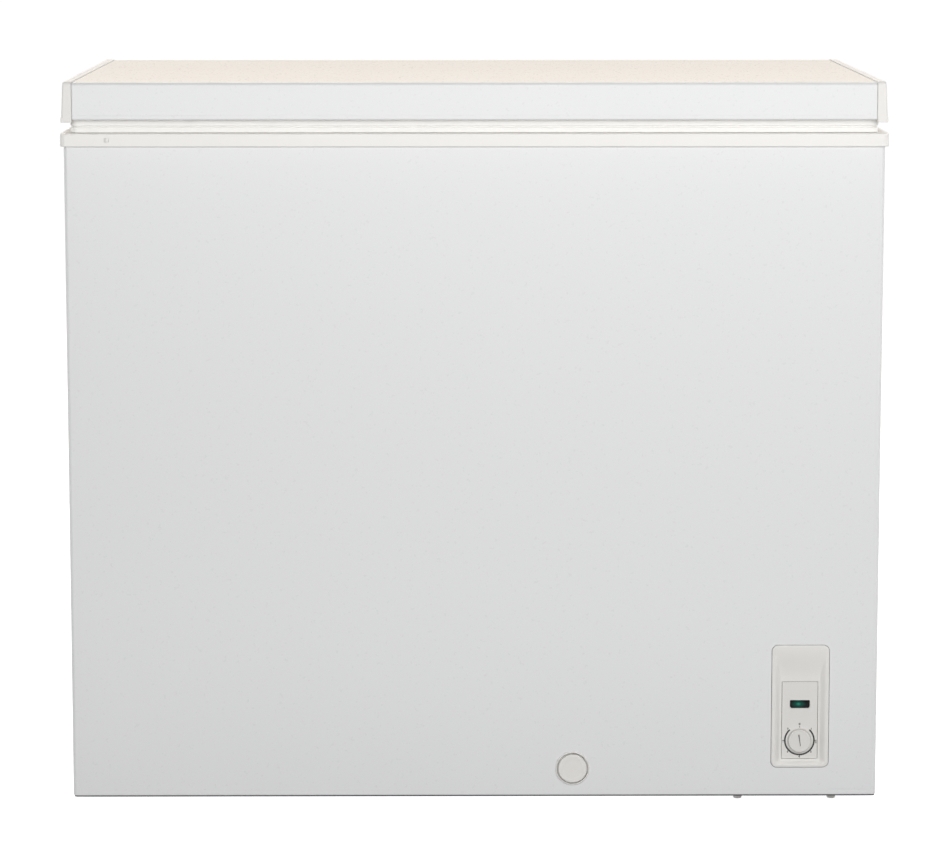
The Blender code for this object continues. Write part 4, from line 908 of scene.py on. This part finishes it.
def knob():
    """The thermostat knob: a low disc with a tapered pointer groove."""
    radius = (KNOB.x1 - KNOB.x0) / 2
    high, edge, dish, pocket, socket = PLATE.y0 - KNOB.y0, 0.0010, 0.0002, 0.0030, 0.0033
    profile = [(0, high - dish), (radius * 0.80, high - dish), (radius * 0.84, high - dish / 4),
               (radius * 0.88, high)]
    profile += arc((radius - edge - dish, high - edge), edge, 90, 0, 5)
    profile += [(radius, SEAM), (socket, SEAM), (socket, pocket), (0, pocket)]
    disc = turned("knob_disc", profile, (KNOB.x, PLATE.y0, KNOB.z), "-Y", 96)
    lean, top, bottom = math.radians(9), 0.0078, -0.0060
    wide, narrow, deep, ink = 0.00095, 0.00045, 0.0014, 0.0006

    def pointer(y, grow=1.0):
        shape = ((-wide, top), (-narrow, bottom), (narrow, bottom), (wide, top))
        return [(KNOB.x + u * grow * math.cos(lean) - v * math.sin(lean), y,
                 KNOB.z + u * grow * math.sin(lean) + v * math.cos(lean)) for u, v in shape]

    groove = loft("groove", [pointer(KNOB.y0 + deep, 0.6), pointer(KNOB.y0 - 0.001, 1.25)], "caps")
    cut(disc, modified(groove, "TRIANGULATE"))
    piece(disc, "grey_plastic", "knob", "thermostat_knob", look=FACIA, sharp=math.radians(30))
    # the grey mark on the groove's floor is partly a printed pointer and partly painted shade of the groove
    mark = loft("knob_pointer", [pointer(KNOB.y0 + deep), pointer(KNOB.y0 + deep - ink)], "caps")
    piece(mark, "black_paint", "knob", look=POINTER_INK_AND_SHADE)


def drain_cap():
    """The turning drain cap, faintly dished, in its sunk collar."""
    hub = (DIAL.x, FRONT, DIAL.z)
    high, radius = FRONT - DIAL.y0, (DIAL.x1 - DIAL.x0) / 2
    round_over, dish, back, stem, stem_end = 0.0010, 0.0004, 0.0013, 0.0056, -0.008
    profile = [(0, high - dish), (0.0112, high - dish), (0.0120, high - dish / 2), (0.0128, high)]
    profile += arc((radius - round_over, high - round_over), round_over, 90, 0, 6)
    profile += [(radius, back), (stem, back), (stem, stem_end), (0, stem_end)]
    piece(turned("drain_knob", profile, hub, "-Y", 96), "grey_plastic", "drain_cap", "drain_dial")
    edge, crest, deep = (COLLAR.x1 - COLLAR.x0) / 2, FRONT - COLLAR.y0, COLLAR.y1 - FRONT
    bore, land, step, wall, floor = 0.0088, 0.0010, 0.0114, 0.0007, -0.0020
    inner = WELL - wall
    seat = [(edge, SEAM), (WELL, SEAM), (WELL, -deep), (step, -deep), (step, SEAM), (bore, SEAM)]
    seat += [(bore, land), (step + wall, land), (step + wall, floor), (inner, floor), (inner, crest - 0.0004)]
    seat += [(inner + 0.0002, crest - 0.0001), (inner + 0.0005, crest), (edge - 0.0006, crest - 0.0001)]
    seat += [(edge - 0.0002, crest - 0.0003), (edge, crest - 0.0007)]
    piece(turned("drain_seat", seat, hub, "-Y", 96), "grey_plastic", "cabinet", "drain_collar")


def floor_plug():
    """The rubber plug in the tub's floor, with a grip and a sealing rib."""
    p = span("floor_drain_plug")
    base = TUB.z0 + TUB_THICK + SEAM
    grip = [(0, 0.0100), (0.0032, 0.0099), (0.0042, 0.0092), (0.0044, 0.0075), (0.0036, 0.0055),
            (0.0040, 0.0036)]
    brim = [(0.0060, 0.0029), (0.0128, 0.0025), (0.0138, 0.0019), (0.0140, 0.0008), (0.0137, 0.0)]
    stem = [(0.0097, 0.0), (0.0095, -0.003), (0.0099, -0.005), (0.0095, -0.007), (0.0092, -0.012),
            (0, -0.012)]
    plug = turned("floor_plug_moulding", grip + brim + stem, (p.x, p.y, base), sides=64)
    piece(plug, "black_rubber", "floor_plug", "floor_drain_plug")


# ---------------------------------------------------------------- lid


def lid_skin():
    """The folded lid sheet, with a rolled lip along its lower front edge and turned-in ends."""
    fold, bend = 0.0045, 0.0016
    front, rear, top, hem = PANEL.y0, PANEL.y1, PANEL.z1, PANEL.z0
    path = [(rear - 0.0124, hem)] + arc((rear - bend, hem + bend), bend, 270, 360, 5)
    path += arc((rear - fold, top - fold), fold, 0, 90, 8) + arc((front + fold, top - fold), fold, 90, 180, 8)
    lip = 0.0005
    path += [(front, hem + 0.0056), (front - lip * 0.4, hem + 0.0050), (front - lip, hem + 0.0046),
             (front - lip, hem + 0.0026)]
    path += arc((front - lip + bend, hem + bend), bend, 190, 270, 5) + [(front + 0.0075, hem)]
    half = PANEL.x1
    ends = [(0.0, 0.0007), (0.0003, 0.00025), (0.0009, 0.00004), (0.0016, 0.0)]
    columns = [(-half + x, inset) for x, inset in ends] + [(half - x, inset) for x, inset in ends[::-1]]
    course = list(zip(path, headings(path)))
    rows = [[(x, y - along.y * inset, z + along.x * inset) for (y, z), along in course]
            for x, inset in columns]
    skin = strip("lid_skin", rows)
    bm = bmesh.new()
    bm.from_mesh(skin.data)
    upward = max(bm.faces, key=lambda f: f.calc_center_median().z)
    if upward.normal.z < 0:
        bmesh.ops.reverse_faces(bm, faces=bm.faces)
    bm.to_mesh(skin.data)
    bm.free()
    modified(skin, "SOLIDIFY", thickness=SHEET, offset=-1, use_even_offset=True)
    piece(skin, "white_paint", "lid", "lid_panel")


def end_cap(side, sign):
    """A moulded lid end: rounded over, with a proud flange along its foot."""
    c = span("lid_end_cap_" + side)
    inner, outer = (c.x1, c.x0) if sign < 0 else (c.x0, c.x1)
    setback, inset, flange, wall, draft = 0.0005, 0.0004, 0.0060, 0.0025, 0.0020
    near, touching = 0.001, 1e-5
    side_x = outer - sign * setback
    low_x, high_x = sorted((inner, side_x))
    bm = box_bmesh((low_x, c.y0 + inset, c.z0), (high_x, c.y1 - inset, c.z1))

    def rounded(offset, segments, test):
        chosen = [e for e in bm.edges if test(*(v.co for v in e.verts))]
        bmesh.ops.bevel(bm, geom=chosen, offset=offset, segments=segments, profile=0.5, affect="EDGES")

    def lies_at(x):
        return lambda a, b: max(abs(a.x - x), abs(b.x - x)) < touching and max(a.z, b.z) > c.z0 + near

    rounded(0.0048, 8, lambda a, b: abs(a.x - b.x) > 0.005 and a.z > c.z1 - near)
    rounded(0.0022, 5, lies_at(side_x))
    for vertex in bm.verts:
        if abs(vertex.co.x - inner) > 0.006:
            vertex.co.x -= sign * draft * (vertex.co.z - c.z0) / (c.z1 - c.z0)
    rounded(0.0005, 2, lies_at(inner))
    cap = from_bmesh("lid_end_" + side, bm)
    join(cap, block("cap_foot", (c.x0, c.y0, c.z0), (c.x1, c.y1, c.z0 + flange), 0.0010, 4))
    low_x, high_x = sorted((inner - sign * PAST, outer - sign * (wall + draft)))
    pocket_low, pocket_high = (low_x, c.y0 + wall, c.z0 - PAST), (high_x, c.y1 - wall, c.z1 - wall)
    cut(cap, block("cap_pocket", pocket_low, pocket_high, 0.001, 2))
    piece(cap, "white_plastic", "lid", "lid_end_cap_" + side)


def gasket():
    """The vinyl seal: a magnet bulb below, a bellows fold and its foot above."""
    out, inner = GASKET.x1 - TUB_HALF, 0.038
    low, high = GASKET.z0, GASKET.z1
    bulb, fold, roll, roll_z = 0.0014, 0.0022, 0.0010, 0.0018
    waist = low + 0.0068
    profile = arc((out - bulb, low + bulb), bulb, 270, 360, 5)
    profile += arc((out - roll, waist - roll_z), roll, 0, 90, 3)
    profile += [(out - fold, waist - 0.0002), (out - fold, waist + 0.0003)]
    profile += arc((out - roll, waist + roll_z), roll, 270, 360, 3)
    profile += [(out, high - 0.0008), (out - 0.0004, high)]
    inside = [(0.0022, high), (0.0018, high - 0.0004), (0.0020, waist + 0.0014), (0.0034, waist + 0.0004),
              (0.0006, waist - 0.0012), (0.0, waist - 0.0022), (0.0, low + 0.0010), (0.0008, low + 0.0001)]
    profile += [(inner + reach, z) for reach, z in inside]
    rings = [tub_ring(offset, offset, 0.008, z) for offset, z in profile]
    piece(loft("lid_seal", rings, "loop"), "gasket_vinyl", "lid", "lid_gasket")


def lid_lining():
    """The inner lid pan: a flat flange, a step inside the gasket and a sunk middle panel."""
    top, low = LID_PAN.z1, LID_PAN.z0
    thick = 0.0015
    flange_x, flange_y = LID_PAN.x1 - TUB_HALF, (LID_PAN.y1 - LID_PAN.y0) / 2 - TUB_HALF_Y
    base = top - thick
    rise = 0.0040
    wall = [(0.0365, 0.030, base), (0.0350, 0.0295, base - 0.0004), (0.0338, 0.029, base - 0.0016),
            (0.0325, 0.0285, low + 0.0022), (0.0312, 0.028, low + 0.0006), (0.0295, 0.027, low)]
    panel = [(-0.0200, 0.030, low), (-0.0215, 0.029, low + 0.0005), (-0.0235, 0.028, low + rise - 0.0005),
             (-0.0250, 0.027, low + rise)]
    rings = [tub_ring(flange_x, flange_y, 0.006, base)]
    rings += [tub_ring(out, out, radius, z) for out, radius, z in wall + panel]
    pan = loft("lid_lining", [ring[::-1] for ring in rings], "last")
    modified(pan, "SOLIDIFY", thickness=thick, offset=-1, use_even_offset=True)
    pitch, half_long, rib_z, rib = 0.15, 0.14, low + rise + 0.0002, 0.0022
    runs = []
    for i in range(5):
        x = (i - 2) * pitch
        runs.append((((x, TUB_Y - half_long, rib_z), (x, TUB_Y + half_long, rib_z)), rib, False))
    piece(wires("lid_ribs", runs, 4), "white_plastic", "lid")
    piece(pan, "white_plastic", "lid", "lid_liner")


# ---------------------------------------------------------------- hinges


def hinge_cover(side):
    """The hood over a hinge: soft edges, a groove and one screw."""
    c = span("hinge_cover_" + side)
    wall, excess, far, groove, groove_z0, groove_z1 = 0.002, 0.008, 0.02, 0.0004, 0.030, 0.031
    hood = block("hinge_hood_" + side, (c.x0, c.y0 - excess, c.z0), (c.x1, c.y1, c.z1 + excess), 0.004, 6)
    x0, x1, y0, z1 = c.x0 - PAST, c.x1 + PAST, c.y0 - far, c.z1 + far
    cut(
        hood,
        block("hood_back", (x0, y0, c.z0 - PAST), (x1, c.y0, z1)),
        block("hood_top", (x0, y0, c.z1), (x1, c.y1 + far, z1)),
        block("hood_inside", (c.x0 + wall, y0, c.z0 + wall), (c.x1 - wall, c.y1 - wall, z1), 0.0015, 2),
        block("hood_groove", (x0, c.y1 - groove, c.z0 + groove_z0), (x1, c.y1 + PAST, c.z0 + groove_z1)),
    )
    piece(hood, "white_plastic", "cabinet", "hinge_cover_" + side)
    sunk, screw_z = 0.0012, 0.015
    screw_heads("hood_screw_" + side, [(c.x, c.y1 - sunk, c.z0 + screw_z)], "Y", "cabinet", 0.0032, 0.0011)


def leaf_screws(side):
    """The screws that hold a hinge's leaf to the lid."""
    a = span("hinge_arm_" + side)
    gap, leaf, half_apart, levels = 0.0005, 0.0015, 0.0125, (0.8075, 0.8265)
    leaf_y = PANEL.y1 + gap + SEAM + leaf
    places = [(a.x + dx, leaf_y, z) for dx in (-half_apart, half_apart) for z in levels]
    screw_heads("leaf_screws_" + side, places, "Y", "lid", 0.0034, 0.0016)


# ---------------------------------------------------------------- basket


def wire_basket():
    """The hanging basket: a stout frame, hooked ends and a grid of thin wires."""
    frame_r, wire_r, hook = 0.0024, 0.0014, 0.0135
    x0, x1 = BASKET.x0 + frame_r, BASKET.x1 - frame_r
    y0, y1 = BASKET.y0 + hook + frame_r, BASKET.y1 - hook - frame_r
    top, floor = BASKET.z1 - frame_r, BASKET.z0 + frame_r
    corner, foot, draft = 0.014, 0.012, 0.004
    middle = ((x0 + x1) / 2, (y0 + y1) / 2)
    half = ((x1 - x0) / 2, (y1 - y0) / 2)

    def level(inset, z):
        shape = outline(half[0] - inset, half[1] - inset, corner - inset, 5)
        return [(middle[0] + u, middle[1] + v, z) for u, v in shape]

    runs = [(level(0, top), frame_r, True)]
    for share in (0.34, 0.67):
        inset = 0.0025 + draft * share * 0.5
        runs.append((level(inset, top + (floor - top) * share), wire_r, True))
    sunk, lift = 0.0006, 2 * wire_r - 0.0004
    inner = frame_r + wire_r - sunk
    low = inner + draft
    across, along = 19, 8
    for i in range(across):
        y = y0 + corner + (y1 - y0 - 2 * corner) * i / (across - 1)
        path = [(x0 + inner, y, top), (x0 + low, y, floor), (x1 - low, y, floor), (x1 - inner, y, top)]
        runs.append((fillet(path, foot, 4), wire_r, False))
    for i in range(along):
        x = x0 + corner + (x1 - x0 - 2 * corner) * i / (along - 1)
        path = [(x, y0 + inner, top), (x, y0 + low, floor + lift), (x, y1 - low, floor + lift),
                (x, y1 - inner, top)]
        runs.append((fillet(path, foot, 4), wire_r, False))
    quarter, end_gap, side_gap = (x1 - x0) / 4, 0.002, 0.004
    for y, sign in ((y0, -1), (y1, 1)):
        for start in (x0 + end_gap, x0 + 3 * quarter - end_gap):
            near, far, out = start + side_gap, start + quarter - side_gap, y + sign * hook
            path = [(near, y, top), (near, out, top), (far, out, top), (far, y, top)]
            runs.append((fillet(path, 0.005, 4), frame_r, False))
    piece(wires("wire_basket", runs, 3), "coated_wire", "basket", "storage_basket")


# ---------------------------------------------------------------- stage


def camera():
    """The camera stands a little left of the middle and looks slightly down."""
    data = bpy.data.cameras.new("camera")
    data.sensor_width = 36.0
    data.lens = 136.9
    data.shift_y = -0.05
    data.clip_end = 200.0
    made = linked("camera", data)
    made.location = (-0.027, -4.393, 1.064)
    made.rotation_euler = (math.radians(90 - 7.82), 0.0, math.radians(-0.38))
    bpy.context.scene.camera = made


def light(name, place, target, size, power, colour):
    """A soft rectangular light aimed at a point."""
    data = bpy.data.lights.new(name, "AREA")
    data.shape = "RECTANGLE"
    data.size, data.size_y = size
    data.energy = power
    data.color = colour
    made = linked(name, data)
    made.location = place
    made.rotation_euler = (Vector(target) - Vector(place)).to_track_quat("-Z", "Y").to_euler()
    made.visible_camera = False


def studio():
    """A pale floor that reaches out of sight, soft lights all round and a warm card behind."""
    bm = bmesh.new()
    bmesh.ops.create_grid(bm, x_segments=2, y_segments=2, size=60.0)
    floor = from_bmesh("floor", bm)
    paper = Look("studio_floor", (0.90, 0.90, 0.90), 0.9)
    paper.tint(paper.range(paper.noise(40, 3), 0.4, 0.7), (0.89, 0.89, 0.89), 0.5)
    paper.set(Specular_IOR_Level=0.1, Emission_Color=(1.0, 1.0, 1.0, 1.0), Emission_Strength=0.80)
    floor.data.materials.append(paper.material)
    floor.visible_diffuse = False

    world = bpy.data.worlds.new("studio")
    world.use_nodes = True
    background = world.node_tree.nodes["Background"]
    background.inputs["Color"].default_value = (1.0, 1.0, 1.0, 1.0)
    background.inputs["Strength"].default_value = 0.26
    bpy.context.scene.world = world
    bpy.context.scene.view_settings.view_transform = "Standard"

    neutral, warm = (1.0, 0.998, 0.995), (1.0, 0.80, 0.58)
    light("key", (0.40, -2.0, 1.42), (0.1, -0.28, 0.70), (3.4, 0.6), 20.6, neutral)
    light("low", (0.30, -1.9, 0.85), (0.1, -0.28, 0.80), (3.0, 0.5), 10.5, neutral)
    light("bounce", (0, -0.75, 0.02), (0, -0.28, 0.10), (1.6, 0.3), 0.20, neutral)
    light("top", (0, 2.6, 2.4), (0, 0, 0.8), (3.0, 1.2), 36, neutral)
    light("left", (-3.2, 0.9, 1.7), (-0.4, 0.0, 0.4), (1.8, 1.8), 34, neutral)
    light("right", (3.2, 0.9, 1.7), (0.4, 0.0, 0.4), (1.8, 1.8), 34, neutral)
    light("card", (0, 5.0, 2.0), (0, 0, 0.9), (8.0, 1.8), 40, warm)


# ---------------------------------------------------------------- the build

camera()
studio()
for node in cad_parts.values():
    node.data.materials[0] = LOOKS[node.data.materials[0].name].material
cabinet_sheet()
base_rail()
rim_collar()
tub_lining()
rear_sheet()
grilles()
feet()
compressor()
control_bezel()
control_plate()
indicator()
dial_print()
knob()
drain_cap()
floor_plug()
lid_skin()
end_cap("left", -1)
end_cap("right", 1)
gasket()
lid_lining()
for hinge_side in ("left", "right"):
    hinge_cover(hinge_side)
    leaf_screws(hinge_side)
wire_basket()
